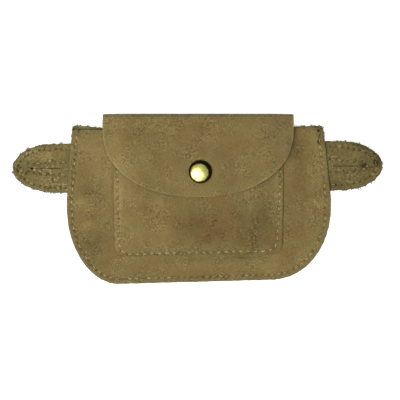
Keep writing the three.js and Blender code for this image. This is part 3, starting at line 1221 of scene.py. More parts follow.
@dataclass(frozen=True)
class Fringe:
    """Loose fibres on a hide's cut edge."""

    name: str  # Name of the piece
    count: int  # Number of fibres
    length: float  # Longest fibre
    radius: float  # Radius of a fibre at its root
    seed: int  # Start of the random draws
    soil: float = 0.6  # How dark the fibres are
    tuft: int = 5  # Fibres in a tuft
    spray: float = 0.45  # How far the fibres stray from straight out
    curl: float = 0.5  # How far they bend on their way
    flatten: Span = (0.7, 0.4)  # Shares of the spray and of the curl that go up or down
    lengths: Span = (1.3, 3.0)  # Shape of the spread of lengths, most of them short
    buried: float = 0.25  # Share of the length that is rooted in the edge
    band: float = 0.45  # Half the width of the edge that carries them
    taper: tuple[float, ...] = (1.0, 0.9, 0.65, 0.25)  # Thickness from the root to the end, as shares
    sides: int = 3  # Sides of a fibre
    core: float = 0.5  # How far they have the colour of the cut
    mixed: float = 0.3  # How much their darkness varies

    # A direction that sets how the fibres' sides turn, and the share of the curl at a fibre's end
    SLANT = (0.13, 0.21, 0.97)
    BEND_SHARE = 0.6

    def build(
        self, hide: Hide, finishes: Finishes, where: Callable[[Space], np.ndarray]
    ) -> bpy.types.Object:
        """Grows the fibres.

        Args:
            hide: The hide that they grow on.
            finishes: The pouch's finishes.
            where: Tells which points of the edge carry fibres.

        Returns:
            The piece.
        """
        draws = np.random.default_rng(self.seed)
        allowed = np.flatnonzero(where(hide.rim))
        pick = draws.choice(draws.choice(allowed, self.count // self.tuft), self.count)
        root, away = hide.rim[pick], hide.rim_out[pick]
        lean = unit(away + draws.normal(0, self.spray, away.shape) * (1, 1, self.flatten[0]))
        droop = draws.normal(0, self.curl, away.shape) * (1, 1, self.flatten[1])
        length = self.length * draws.beta(*self.lengths, self.count)
        root[:, 2] += draws.uniform(-self.band, self.band, self.count)
        share = np.linspace(-self.buried, 1, len(self.taper))[None, :, None]
        reach = lean[:, None] * share + droop[:, None] * np.clip(share, 0, 1) ** 2 * self.BEND_SHARE
        centres = root[:, None] + reach * length[:, None, None]
        centres[..., 2] = np.maximum(centres[..., 2], 2 * self.radius)
        run = unit(np.gradient(centres, axis=1))
        aside = unit(np.cross(run, np.array(self.SLANT)))
        taper = self.radius * np.array(self.taper)[:, None]
        radii = np.broadcast_to(taper, (self.count, len(self.taper), self.sides))
        skin, faces = tubes(centres, aside, np.cross(run, aside), radii)
        dark = np.clip(self.soil + draws.normal(0, self.mixed, self.count), 0, 1)
        marks = {label: np.zeros(len(skin)) for label in ("raw", "tone", "warm", "seam")}
        marks |= {"cut": skin, "core": np.full(len(skin), self.core)}
        marks["pit"] = np.repeat(dark, len(skin) // self.count)
        piece = make_piece(self.name, skin, faces, marks)
        finishes.dress(piece, hide.finish)
        return piece


@dataclass(frozen=True)
class Workshop:
    """What the sewn pieces are made with."""

    finishes: Finishes  # The pouch's finishes
    needle: Needlework  # The needlework

    def lay(
        self, hide: Hide, rests_on: str, rows: Sequence[Seam] = (), face: Face = Face.OUTER,
        lie: Lie = Lie.LAID,
    ) -> Pieces:
        """Makes a hide with the rows that show on one of its faces.

        Args:
            hide: The hide.
            rests_on: Name of the solid under it; not used.
            rows: Rows of stitches that show on it.
            face: The face that they show on.
            lie: How it is held; not used.

        Returns:
            The hide, then the threads of its rows.
        """
        piece = hide.build(self.finishes)
        threads = [self.needle.sew(row, hide, face, self.finishes) for row in rows]
        hide.flat_size
        hide.flat_area
        return [piece, *threads]


# The body


@dataclass(frozen=True)
class BodySide:
    """One side of the body's outline."""

    mouth_x: float  # Place of the mouth's corner
    wide_x: float  # Place of the widest point
    wide_y: float  # Height of the widest point
    foot_x: float  # Place where the foot's straight run ends
    foot_y: float  # Height there
    foot_pull: float  # Fullness of the corner along the foot
    side_pull: float  # Fullness of the corner along the side
    tab_low: float  # Lower edge of the side's tab
    tab_top: float  # Upper edge of the side's tab


@dataclass(frozen=True)
class Mouth:
    """The mouth edge of one panel."""

    left_y: float  # Height at the left corner
    right_y: float  # Height at the right corner
    # Drop below the corners' chord, as pairs of share across and drop
    drops: tuple[tuple[float, float], ...]

    # Stations across the edge, and how many on each side are averaged at one of them
    STATIONS = 61
    SMOOTHED = 4

    def top(self, side: Side) -> float:
        """Height at one corner."""
        return self.left_y if side is Side.LEFT else self.right_y

    def drop(self, share: Reals) -> Reals:
        """Smooths the drop below the corners' chord.

        Args:
            share: Shares of the way across.

        Returns:
            The drop at each of them.
        """
        across, drop = np.array(self.drops).T
        fine = np.linspace(0, 1, self.STATIONS)
        rough = np.interp(fine, across, drop)
        width = 2 * self.SMOOTHED + 1
        soft = np.pad(rough, self.SMOOTHED, mode="edge")
        soft = np.convolve(soft, np.full(width, 1 / width), mode="valid")
        soft -= np.interp(fine, [0, 1], [soft[0], soft[-1]])
        return np.interp(share, fine, np.maximum(soft, 0))


@dataclass(frozen=True)
class Body:
    """The flat back and the puffed front, sewn round the sides and the foot."""

    hide: float = 1.6  # Thickness of the hide
    gap: float = 0.3  # Clearance between sewn layers
    mouth_y: float = 47.9  # Height that the sides lean to
    mouth_corner: float = 2.5  # Radius of the mouth's corners
    # Left side of the outline
    left: BodySide = BodySide(
        mouth_x=-81.3, wide_x=-84.8, wide_y=0.5, foot_x=-50.5, foot_y=-55.15,
        foot_pull=0.58, side_pull=0.54, tab_low=4.2, tab_top=35.9,
    )
    # Right side of the outline
    right: BodySide = BodySide(
        mouth_x=81.5, wide_x=86.3, wide_y=1.9, foot_x=48.3, foot_y=-52.4,
        foot_pull=0.66, side_pull=0.52, tab_low=5.7, tab_top=37.5,
    )
    # Mouth edge of the back
    back_mouth: Mouth = Mouth(47.9, 47.7, ((0, 0), (0.11, 2.3), (0.5, 2.8), (0.89, 0.8), (1, 0)))
    # Mouth edge of the front
    front_mouth: Mouth = Mouth(44.9, 47.0, ((0, 0), (0.11, 0.3), (0.5, 1.1), (0.89, 0.1), (1, 0)))
    rim: float = 5.0  # Width of the flat sewn rim
    puff: float = 6.0  # Height of the front's rise
    reach: float = 28.0  # Width of the rise
    flat_x: Span = (57.0, 70.0)  # Distances from the middle over which the mouth's ends are pulled flat
    flat_y: Span = (22.0, 44.0)  # Heights over which they are pulled flat
    flat_share: float = 0.8  # Share of the rise that is pulled away there
    tab_lift: float = 1.8  # How far the tabs' roots lift the front
    tab_margin: float = 5.0  # Flat margin beside a tab's root
    tab_ramp: float = 8.0  # Width of the ramp beside it
    tab_root: float = 9.0  # Length of a tab's root inside the seam
    tab_fade: float = 13.0  # Width over which the lift fades inward
    seam_inset: float = 3.3  # Distance of the seam from the edge
    seam_pitch: float = 4.2  # Pitch of the seam
    root_rows: Span = (36.0, 43.0)  # Heights of the rows that hold the flap's root
    root_half: float = 57.0  # Half the length of those rows
    root_x: float = 0.4  # Middle of those rows

    # Slack of the soft hide, and the distances from the edge over which it sets in
    SLACK = ((0.28, 19.0, 11), (0.12, 8.0, 12))
    SLACK_FROM = (3.0, 14.0)
    # Painted shade along the front's edge, darker on the right, away from the lamp; the seam's fading away
    # from the left
    EDGE_DARK = (0.14, 0.2)
    SHADE_FROM = (0.0, 30.0)
    FADED = 0.35
    FADED_FROM = (-65.0, -40.0)
    # Fibres grow on the mouth's corners, past this place and this height
    FUZZ_FROM = (63.0, 40.0)

    MARKS = patches(
        # (57.5, 22) is painted light that lifts the shadow of the flap's right edge
        (-75.6, -2.2, 4.5, 4.0, 0.7), (-71.4, -17.1, 4.0, 2.6, 0.6), (57.5, 22.0, 5.0, 6.0, 0.5),
        (-62.0, -41.0, 12.0, 6.0, -0.45), (-68.0, -4.0, 14.0, 36.0, -0.16),
        # (31, -37.4) is painted shadow just under the pocket's foot
        (-35.0, -45.5, 24.0, 5.0, -0.2), (31.0, -37.4, 11.0, 0.9, -0.95), (-61.6, 18.2, 9.0, 9.0, 0.5),
        (-68.0, 34.0, 12.0, 10.0, 0.6), (-65.0, -30.0, 11.0, 10.0, -0.85), (-70.0, 3.4, 9.0, 4.0, -0.55),
        # (4, -38.8) is painted shadow under the pocket's foot
        (-57.0, 12.0, 4.0, 14.0, 0.45), (4.0, -38.8, 26.0, 2.6, -0.55), (81.0, 18.0, 3.0, 13.0, 0.4),
        (75.0, -29.0, 5.0, 5.0, 0.55), (-70.0, -12.0, 6.0, 3.0, -0.5), (66.0, 11.7, 4.0, 6.0, -0.4, 0.6),
        # (68, 31) is painted shade where the flap's right edge shades the front
        (59.6, 3.4, 5.0, 6.0, -0.1, 0.45), (68.0, 31.0, 9.0, 9.0, -0.65),
        (63.3, 42.4, 8.0, 6.0, -0.45, 0.25), (76.3, 36.9, 4.0, 8.0, 0.4), (74.3, 1.5, 5.0, 3.0, -0.5),
        (78.0, -2.2, 5.0, 3.0, 0.5), (57.7, -36.6, 6.0, 5.0, -0.5, 0.45),
        (64.2, -19.8, 6.0, 5.0, -0.3, 0.45), (68.9, -36.6, 6.0, 7.0, 0.35),
        (46.6, -43.9, 18.0, 6.0, 0.25), (0.0, -48.0, 26.0, 4.0, -0.25, 0.25),
    )

    CORNER_MARKS = patches(
        (-79.6, 47.2, 1.6, 1.0, -2.0, -0.6), (-70.0, 46.0, 9.0, 1.6, 0.2, -0.9),
        (-81.0, 45.2, 0.9, 1.0, -4.0), (-77.2, 44.0, 0.8, 1.6, -2.6), (-64.5, 45.6, 2.0, 0.6, -1.6, -0.5),
        (77.0, 47.2, 1.1, 0.9, -4.5), (80.4, 46.0, 1.2, 1.4, -1.6, -0.5),
        (68.0, 47.0, 9.0, 0.7, -1.2, -0.8), (82.4, 41.0, 1.5, 6.0, -1.5, -0.6),
        (-82.2, 41.5, 1.6, 6.0, -0.7, -0.8), (78.2, 44.6, 0.9, 0.9, -4.0), (78.8, 41.4, 0.9, 0.9, -3.6),
        (78.9, 37.5, 1.0, 1.1, -4.5),
    )

    def side(self, side: Side) -> BodySide:
        """The outline's values on one side."""
        return self.left if side is Side.LEFT else self.right

    def side_x(self, side: Side, y: float) -> float:
        """Place of the straight side edge at a height."""
        at = self.side(side)
        return at.wide_x + (at.mouth_x - at.wide_x) * (y - at.wide_y) / (self.mouth_y - at.wide_y)

    def edge(self, side: Side, top: float) -> Plane:
        """Draws one side of the outline, from the foot up to the mouth.

        Args:
            side: Which side.
            top: Height of the mouth's corner.

        Returns:
            Points of the edge.
        """
        at = self.side(side)
        foot = unit(np.array([self.right.foot_x - self.left.foot_x, self.right.foot_y - self.left.foot_y]))
        lean = unit(np.array([at.mouth_x - at.wide_x, self.mouth_y - at.wide_y]))
        start, wide = np.array([at.foot_x, at.foot_y]), np.array([at.wide_x, at.wide_y])
        along = start + foot * at.foot_pull * (at.wide_x - at.foot_x)
        below = wide - lean * at.side_pull * (at.wide_y - at.foot_y)
        corner_y, top_x = top - self.mouth_corner, self.side_x(side, top)
        inner_x = top_x - side.value * self.mouth_corner
        corner = bend([(self.side_x(side, corner_y), corner_y), (top_x, top), (inner_x, top)], 6)
        return np.vstack([bend([start, along, below, wide]), corner])

    def outline(self, mouth: Mouth) -> Plane:
        """Draws one panel's whole edge.

        Args:
            mouth: The panel's mouth.

        Returns:
            Points of the loop.
        """
        left, right = (self.edge(side, mouth.top(side)) for side in Side)
        share = np.linspace(0, 1, 121)
        top = left[-1] + (right[-1] - left[-1]) * share[:, None]
        top[:, 1] -= mouth.drop(share)
        return np.vstack([right, top[::-1][1:-1], left[::-1]])

    @cached_property
    def sewn_edge(self) -> Plane:
        """The front's edge from the left corner of the mouth round the foot to the right one."""
        left, right = (self.edge(side, self.front_mouth.top(side)) for side in Side)
        return resample(np.vstack([left[::-1], right]), 2.0)

    def inward(self, plan: Plane) -> Reals:
        """Distance of each place from the sewn edge."""
        low = np.column_stack([plan[:, 0], np.minimum(plan[:, 1], self.mouth_y)])
        return distance_to(low, self.sewn_edge)

    def front_height(self, plan: Plane) -> Reals:
        """Height of the front's middle surface.

        Args:
            plan: Places in the flat.

        Returns:
            Heights.
        """
        inward = self.inward(plan)
        puff = self.puff * smoothstep(inward, self.rim, self.rim + self.reach)
        pulled = smoothstep(plan[:, 1], *self.flat_y) * smoothstep(np.abs(plan[:, 0]), *self.flat_x)
        puff = puff * (1 - self.flat_share * pulled)
        left = plan[:, 0] < 0
        low = np.where(left, self.left.tab_low, self.right.tab_low)
        top = np.where(left, self.left.tab_top, self.right.tab_top)
        past = np.abs(plan[:, 1] - (top + low) / 2) - (top - low) / 2
        lift = self.tab_lift * (1 - smoothstep(past, self.tab_margin, self.tab_margin + self.tab_ramp))
        lift = lift * (1 - smoothstep(inward, self.tab_root, self.tab_root + self.tab_fade))
        slack = waves(plan, self.SLACK) * smoothstep(inward, *self.SLACK_FROM)
        return self.hide * 1.5 + self.gap + np.hypot(puff, lift) + slack

    def seam(self) -> Seam:
        """Draws the row round the sides and the foot.

        Returns:
            The row.
        """
        edge = resample(self.sewn_edge[2:-2], 1.0)
        line = edge + leftward(edge) * self.seam_inset
        return Seam(
            "body_seam", line, self.seam_pitch, soil=0.2, spread=0.3, seed=3, bridge=0.26, bore=0.56,
            faded=lambda plan: self.FADED * smoothstep(plan[:, 0], *self.FADED_FROM),
        )

    def _edge_tone(self, plan: Plane) -> Reals:
        """Painted shade along the front's edge, darker on the right."""
        return -self.EDGE_DARK[0] - self.EDGE_DARK[1] * smoothstep(plan[:, 0], *self.SHADE_FROM)

    def _is_fuzzy(self, rim: Space) -> np.ndarray:
        """Tells which points of the back's edge carry fibres."""
        return (np.abs(rim[:, 0]) > self.FUZZ_FROM[0]) & (rim[:, 1] > self.FUZZ_FROM[1])

    def build(self, shop: Workshop, rubs: Sequence[Plane]) -> Pieces:
        """Makes both panels and their stitches.

        Args:
            shop: The workshop.
            rubs: Edges of the hides that lie on the front, along which their contact shadow is painted.

        Returns:
            The pieces.
        """
        seam = self.seam()
        across = np.array([[-self.root_half, 0.0], [self.root_half, 0.0]])
        rows = [
            Seam(f"flap_root_row_{i}", across + (self.root_x, y), self.seam_pitch, seed=20 + i)
            for i, y in enumerate(self.root_rows)
        ]
        panel = partial(Hide, thickness=self.hide, pale_rim=steady(0.35), groove=0.2)
        back = panel(
            node="back_panel", outline=self.outline(self.back_mouth), surface=raised(steady(self.hide / 2)),
            seams=[seam, *rows], marks=self.CORNER_MARKS, edge_green=0.4, step=1.6, seed=1,
        )
        front = panel(
            node="front_panel", outline=self.outline(self.front_mouth), surface=raised(self.front_height),
            seams=[seam], marks=self.MARKS + self.CORNER_MARKS, edge_tone=self._edge_tone, edge_green=0.3,
            rubs=rubs, seed=2,
        )
        made = shop.lay(back, "front_panel", back.seams, Face.INNER)
        made += shop.lay(front, "back_panel", front.seams)
        fuzz = Fringe("mouth_fibres", count=260, length=1.9, radius=0.17, seed=5)
        return [*made, fuzz.build(back, shop.finishes, self._is_fuzzy)]


# The patch pocket


@dataclass(frozen=True)
class Pocket:
    """The patch pocket on the front, sewn along its sides and foot."""

    body: Body  # The body that carries it
    # Left side, as the places at the mouth and low down, and the foot's height
    left: tuple[float, float, float] = (-54.7, -53.6, -36.8)
    right: tuple[float, float, float] = (55.6, 54.9, -35.9)  # Right side, likewise
    mouth_y: float = 36.0  # Height of its mouth
    corner: float = 8.0  # Radius of its lower corners
    layer_gap: float = 0.45  # Clearance over the front
    press: float = 0.5  # How far its thinned edge is pressed down
    rim: float = 4.0  # Width of its flat sewn rim
    puff: float = 5.2  # Height of its rise
    reach: float = 18.0  # Width of the rise
    ease: float = 22.0  # Radius of the rise's corners
    # Distances of the seam from the edge at the mouth, low down and at the foot, left and right
    seam_insets: tuple[tuple[float, float, float], ...] = ((2.4, 2.8, 1.4), (0.9, 3.4, 2.7))
    seam_pitch: float = 4.8  # Pitch of the seam
    seam_start: float = 1.5  # Distance of its ends below the mouth

    # Slack of the soft hide, and the distances from the edge over which it and the pressed rim change
    SLACK = ((0.22, 15.0, 31), (0.1, 6.0, 32))
    SLACK_FROM = (4.0, 12.0)
    PRESS_FROM = (-0.5, 3.2)
    # How much tighter a line's corners turn, as a share of its distance inside
    ROUND_LOSS = 0.4
    # Places across the pouch where the seam's fading and the painted shadow along the edge are given; the
    # shadow is darkest along the right of the foot
    STATIONS = (-50.0, -40.0, 0.0, 20.0, 46.0, 52.0)
    FADED = (0.0, 0.4, 0.4, 0.6, 0.6, 0.4)
    EDGE_SHADOWS = (-0.4, -0.55, -0.55, -0.95, -0.95, 0.0)

    MARKS = patches(
        (5.2, -24.0, 5.0, 4.4, -0.6, 0.35), (6.0, -19.0, 8.0, 6.0, -0.35), (-51.8, -8.0, 3.0, 26.0, 1.0),
        # (-26, -2.5) is painted light that lifts the shadow under the flap's edge
        (52.6, -6.0, 2.4, 28.0, 0.5), (-26.0, -2.5, 5.0, 4.0, 0.4), (-19.0, -17.7, 5.0, 5.0, 0.35),
        (13.5, -2.0, 5.0, 4.0, -0.35), (42.0, -24.0, 12.0, 13.0, -0.65),
        (5.0, -18.5, 17.0, 13.0, -0.95, 0.3), (-40.0, -12.0, 16.0, 22.0, -0.22),
        (28.0, -27.0, 28.0, 6.0, -0.75), (-50.5, 9.0, 6.0, 11.0, 0.6), (-6.0, -14.0, 16.0, 7.0, -0.4),
        (-27.7, -10.3, 10.0, 10.0, 0.2), (-47.0, -16.8, 6.0, 15.0, 0.3), (-34.0, -4.9, 5.0, 3.0, -0.4),
        (-43.4, 0.0, 4.0, 4.0, 0.4), (14.5, -12.5, 8.0, 6.0, -0.2, 0.35), (28.0, -14.0, 14.0, 14.0, -0.5),
    )

    def inset(self, plan: Plane, corner: float) -> Reals:
        """Distance inside the sewn edge, with round lower corners.

        Args:
            plan: Places in the flat.
            corner: Radius of the corners.

        Returns:
            Distances, below 0 outside.
        """
        x, y = plan.T
        down = (self.mouth_y - y) / (self.mouth_y - self.left[2])
        over = (x - self.left[1]) / (self.right[1] - self.left[1])
        left = x - (self.left[0] + (self.left[1] - self.left[0]) * down)
        right = self.right[0] + (self.right[1] - self.right[0]) * down - x
        side = np.minimum(left, right)
        foot = y - (self.left[2] + (self.right[2] - self.left[2]) * over)
        round_off = corner - np.hypot(np.maximum(corner - side, 0), np.maximum(corner - foot, 0))
        return np.where((side < corner) & (foot < corner), round_off, np.minimum(side, foot))

    def height(self, plan: Plane) -> Reals:
        """Height of the pocket's middle surface.

        Args:
            plan: Places in the flat.

        Returns:
            Heights.
        """
        inset = self.inset(plan, self.ease)
        puff = self.puff * smoothstep(inset, self.rim, self.rim + self.reach)
        slack = waves(plan, self.SLACK) * smoothstep(inset, *self.SLACK_FROM)
        press = self.press * (1 - smoothstep(self.inset(plan, self.corner), *self.PRESS_FROM))
        return self.body.front_height(plan) + self.body.hide + self.layer_gap + puff + slack - press

    def edge(self, insets: Sequence[tuple[float, float, float]] = ((0.0, 0.0, 0.0),) * 2) -> Plane:
        """Draws the sewn edge from the left end of the mouth to the right one.

        Args:
            insets: Distances inside it at the mouth, low down and at the foot, left and right.

        Returns:
            Points of the line.
        """
        parts = []
        for at, inset, way in zip((self.left, self.right), insets, (-1, 1)):
            mouth, low, foot = at[0] - way * inset[0], at[1] - way * inset[1], at[2] + inset[2]
            radius = self.corner - self.ROUND_LOSS * inset[1]
            turn = bend([(low - way * radius, foot), (low, foot), (low, foot + radius)], 12)
            parts.append(np.vstack([turn, [(mouth, self.mouth_y)]]))
        return np.vstack([parts[0][::-1], parts[1]])

    def shadow_edge(self) -> Plane:
        """The left side of the edge, along which its shadow is painted on the front."""
        edge = self.edge()
        return edge[: len(edge) // 2]

    def build(self, shop: Workshop, post_hole: Plane, rubs: Sequence[Plane]) -> Pieces:
        """Makes the pocket and its stitches.

        Args:
            shop: The workshop.
            post_hole: Loop of the stud's hole.
            rubs: Edges of the hides that lie on it, along which their contact shadow is painted.

        Returns:
            The pieces.
        """
        row = self.edge(self.seam_insets)
        row[[0, -1], 1] -= self.seam_start
        seam = Seam(
            "pocket_seam", resample(row, 1.0), self.seam_pitch, slant=-0.35, soil=0.0, spread=0.25, seed=7,
            bridge=0.38, bore=0.62, faded=stepped(self.STATIONS, self.FADED),
        )
        hide = Hide(
            node="pocket", outline=self.edge(), surface=raised(self.height), thickness=self.body.hide,
            openings=[post_hole], seams=[seam], marks=self.MARKS,
            # Painted shadow along the pocket's edge, darkest along the right of the foot
            edge_tone=stepped(self.STATIONS, self.EDGE_SHADOWS), edge_width=1.8, pale_rim=steady(0.15),
            bevel=1.2, lip=0.35, rubs=rubs, step=0.8, seed=3,
        )
        return shop.lay(hide, "front_panel", [seam])


# The flap


@dataclass(frozen=True)
class Flap:
    """The flap: a root inside the mouth, a fold over the top, and a front with a curved free edge."""

    body: Body  # The body that carries it
    pocket: Pocket  # The pocket that it covers
    snap: Span = (1.8, 17.5)  # Place of the press stud
    centre_x: float = 0.4  # Middle of its width
    half: float = 61.7  # Half of its width
    root_y: float = 33.0  # Lower end of its root
    shoulder_y: float = 46.0  # Height where the fold starts
    fold_y: float = 55.15  # Height of the fold's outside
    tip_y: float = 1.4  # Lowest point of the free edge
    curve: float = 2.2  # Power of the free edge's curve
    fold_curve: float = 2.8  # Power of the fold's curve
    # Distances past the pocket's edge where the flap starts and stops rising over it
    ease: Span = (-8.0, 12.0)
    droop: float = 0.9  # How far its sides sink to the front, as a share of the pocket's layer
    droop_from: Span = (0.6, 5.0)  # Distances outside the pocket's edge where they start and stop sinking
    snap_lift: float = 3.1  # How far the stud lifts it
    snap_flat: float = 8.5  # Radius of the lifted place
    snap_fade: float = 25.0  # Radius where the lift ends
    post_radius: float = 2.5  # Radius of the stud's hole

    # Slack of the soft hide, and the distances from the stud over which it sets in
    SLACK = ((0.2, 16.0, 51), (0.1, 7.0, 52))
    SLACK_FROM = (8.0, 20.0)
    # Clearance over the pocket, the way below the shoulder over which the sides start to sink,
    # and the rough height of the shoulder that gives the fold its length
    CLEAR = 0.2
    SINK_FROM = (1.0, 9.0)
    FOLD_TOP = 18.0
    # The free edge's pale rim, at its least and over the heights where it grows: the cut edge's own colour
    # with a painted highlight
    PALE_RIM = 0.4
    PALE_RIM_FROM = (6.0, 22.0)

    MARKS = patches(
        (-34.0, 40.6, 14.0, 5.0, -0.5), (1.8, 17.5, 11.0, 11.0, 0.25), (-15.0, 6.0, 9.0, 5.0, -0.3),
        (58.0, 43.0, 6.0, 8.0, 0.4), (1.5, 44.9, 14.0, 4.0, -0.3, 0.2), (-27.7, 29.7, 6.0, 6.0, -0.3),
        (-9.4, 24.3, 6.0, 7.0, -0.25), (21.0, 34.0, 14.0, 8.0, 0.0, 0.25), (37.3, 16.7, 5.0, 4.0, -0.3),
        (-45.0, 20.0, 13.0, 10.0, 0.6), (-54.0, 33.0, 7.0, 12.0, 0.3), (57.0, 29.0, 6.0, 13.0, 0.55),
        # Painted shade along the fold's top edge, greener, and at its left end; a lighter band lies lower
        # round the fold
        (0.4, 51.8, 95.0, 1.8, 0.3), (0.4, 56.0, 95.0, 2.0, -1.9, -1.8),
        (-61.3, 55.0, 0.9, 4.0, -1.4, -0.6),
    )

    def height(self, plan: Plane) -> Reals:
        """Height of the front part's middle surface.

        Args:
            plan: Places in the flat.

        Returns:
            Heights.
        """
        inset = self.pocket.inset(plan, self.pocket.corner)
        carried = self.pocket.puff * smoothstep(inset, *self.ease)
        reach = np.hypot(plan[:, 0] - self.snap[0], plan[:, 1] - self.snap[1])
        lift = self.snap_lift * (1 - smoothstep(reach, self.snap_flat, self.snap_fade))
        slack = waves(plan, self.SLACK) * smoothstep(reach, *self.SLACK_FROM)
        layer = self.body.hide + self.pocket.layer_gap
        droop = smoothstep(self.shoulder_y - plan[:, 1], *self.SINK_FROM)
        droop = smoothstep(-inset, *self.droop_from) * droop
        below = layer * (2 - self.droop * droop)
        return self.body.front_height(plan) + below + carried + lift + self.CLEAR + slack

    @cached_property
    def fold(self) -> tuple[Reals, Reals]:
        """Measures the way round the fold.

        Returns:
            Lengths along it, and the turn at each.
        """
        turn = np.linspace(0, math.pi, 400)
        out, up = self._fold_place(turn)
        depth = self.fold_y - self.body.hide / 2 - self.shoulder_y
        rise = (self.FOLD_TOP - self._root_height) / 2
        steps = np.hypot(np.diff(out) * depth, np.diff(up) * rise)
        return np.concatenate([[0.0], np.cumsum(steps)]), turn

    @property
    def _root_height(self) -> float:
        """Height of the root's middle surface."""
        return self.body.hide * 1.5 + self.body.gap

    def _fold_place(self, turn: Reals) -> tuple[Reals, Reals]:
        """Finds places round the fold.

        Args:
            turn: Turns, from the front to the root.

        Returns:
            Their shares outward and upward.
        """
        power = 2 / self.fold_curve
        out = np.abs(np.sin(turn)) ** power
        return out, np.sign(np.cos(turn)) * np.abs(np.cos(turn)) ** power

    def surface(self, plan: Plane) -> Space:
        """Lays the flat pattern over the mouth.

        Args:
            plan: Places of the pattern; past the shoulder they run on round the fold and down the root.

        Returns:
            Points of the middle surface.
        """
        lengths, turns = self.fold
        x, run = plan[:, 0], plan[:, 1] - self.shoulder_y
        shoulder = np.minimum(plan[:, 1], self.shoulder_y)
        high = self.height(np.column_stack([x, shoulder]))
        out, up = self._fold_place(np.interp(run, lengths, turns))
        low = self._root_height
        fold_y = self.shoulder_y + out * (self.fold_y - self.body.hide / 2 - self.shoulder_y)
        fold_z = (high + low) / 2 + up * (high - low) / 2
        root = run > lengths[-1]
        y = np.where(run <= 0, plan[:, 1], np.where(root, self.shoulder_y - (run - lengths[-1]), fold_y))
        z = np.where(run <= 0, high, np.where(root, low, fold_z))
        return np.column_stack([x, y, z])

    def free_edge(self) -> Plane:
        """Draws the curved free edge.

        Returns:
            Points from left to right.
        """
        turn = np.linspace(0, math.pi, 161)
        power = 2 / self.curve
        return np.column_stack([
            self.centre_x - self.half * np.sign(np.cos(turn)) * np.abs(np.cos(turn)) ** power,
            self.shoulder_y - (self.shoulder_y - self.tip_y) * np.sin(turn) ** power,
        ])

    def outline(self) -> Plane:
        """Draws the flat pattern's edge.

        Returns:
            Points of the loop.
        """
        end = self.shoulder_y + self.fold[0][-1] + self.shoulder_y - self.root_y
        root = [(self.centre_x + self.half, end), (self.centre_x - self.half, end)]
        return np.vstack([self.free_edge(), root])

    def post_hole(self) -> Plane:
        """Loop of the stud's hole."""
        return np.array(self.snap) + self.post_radius * ring(24)

    def build(self, shop: Workshop) -> Pieces:
        """Makes the flap.

        Args:
            shop: The workshop.

        Returns:
            The pieces.
        """
        hide = Hide(
            node="flap", outline=self.outline(), surface=self.surface, thickness=self.body.hide,
            openings=[self.post_hole()], marks=self.MARKS,
            pale_rim=lambda plan: self.PALE_RIM + smoothstep(plan[:, 1], *self.PALE_RIM_FROM),
            pale_rim_width=1.3, bevel=0.35, step=0.8, seed=4,
        )
        return shop.lay(hide, "pocket", lie=Lie.FOLDED)


# The side tabs


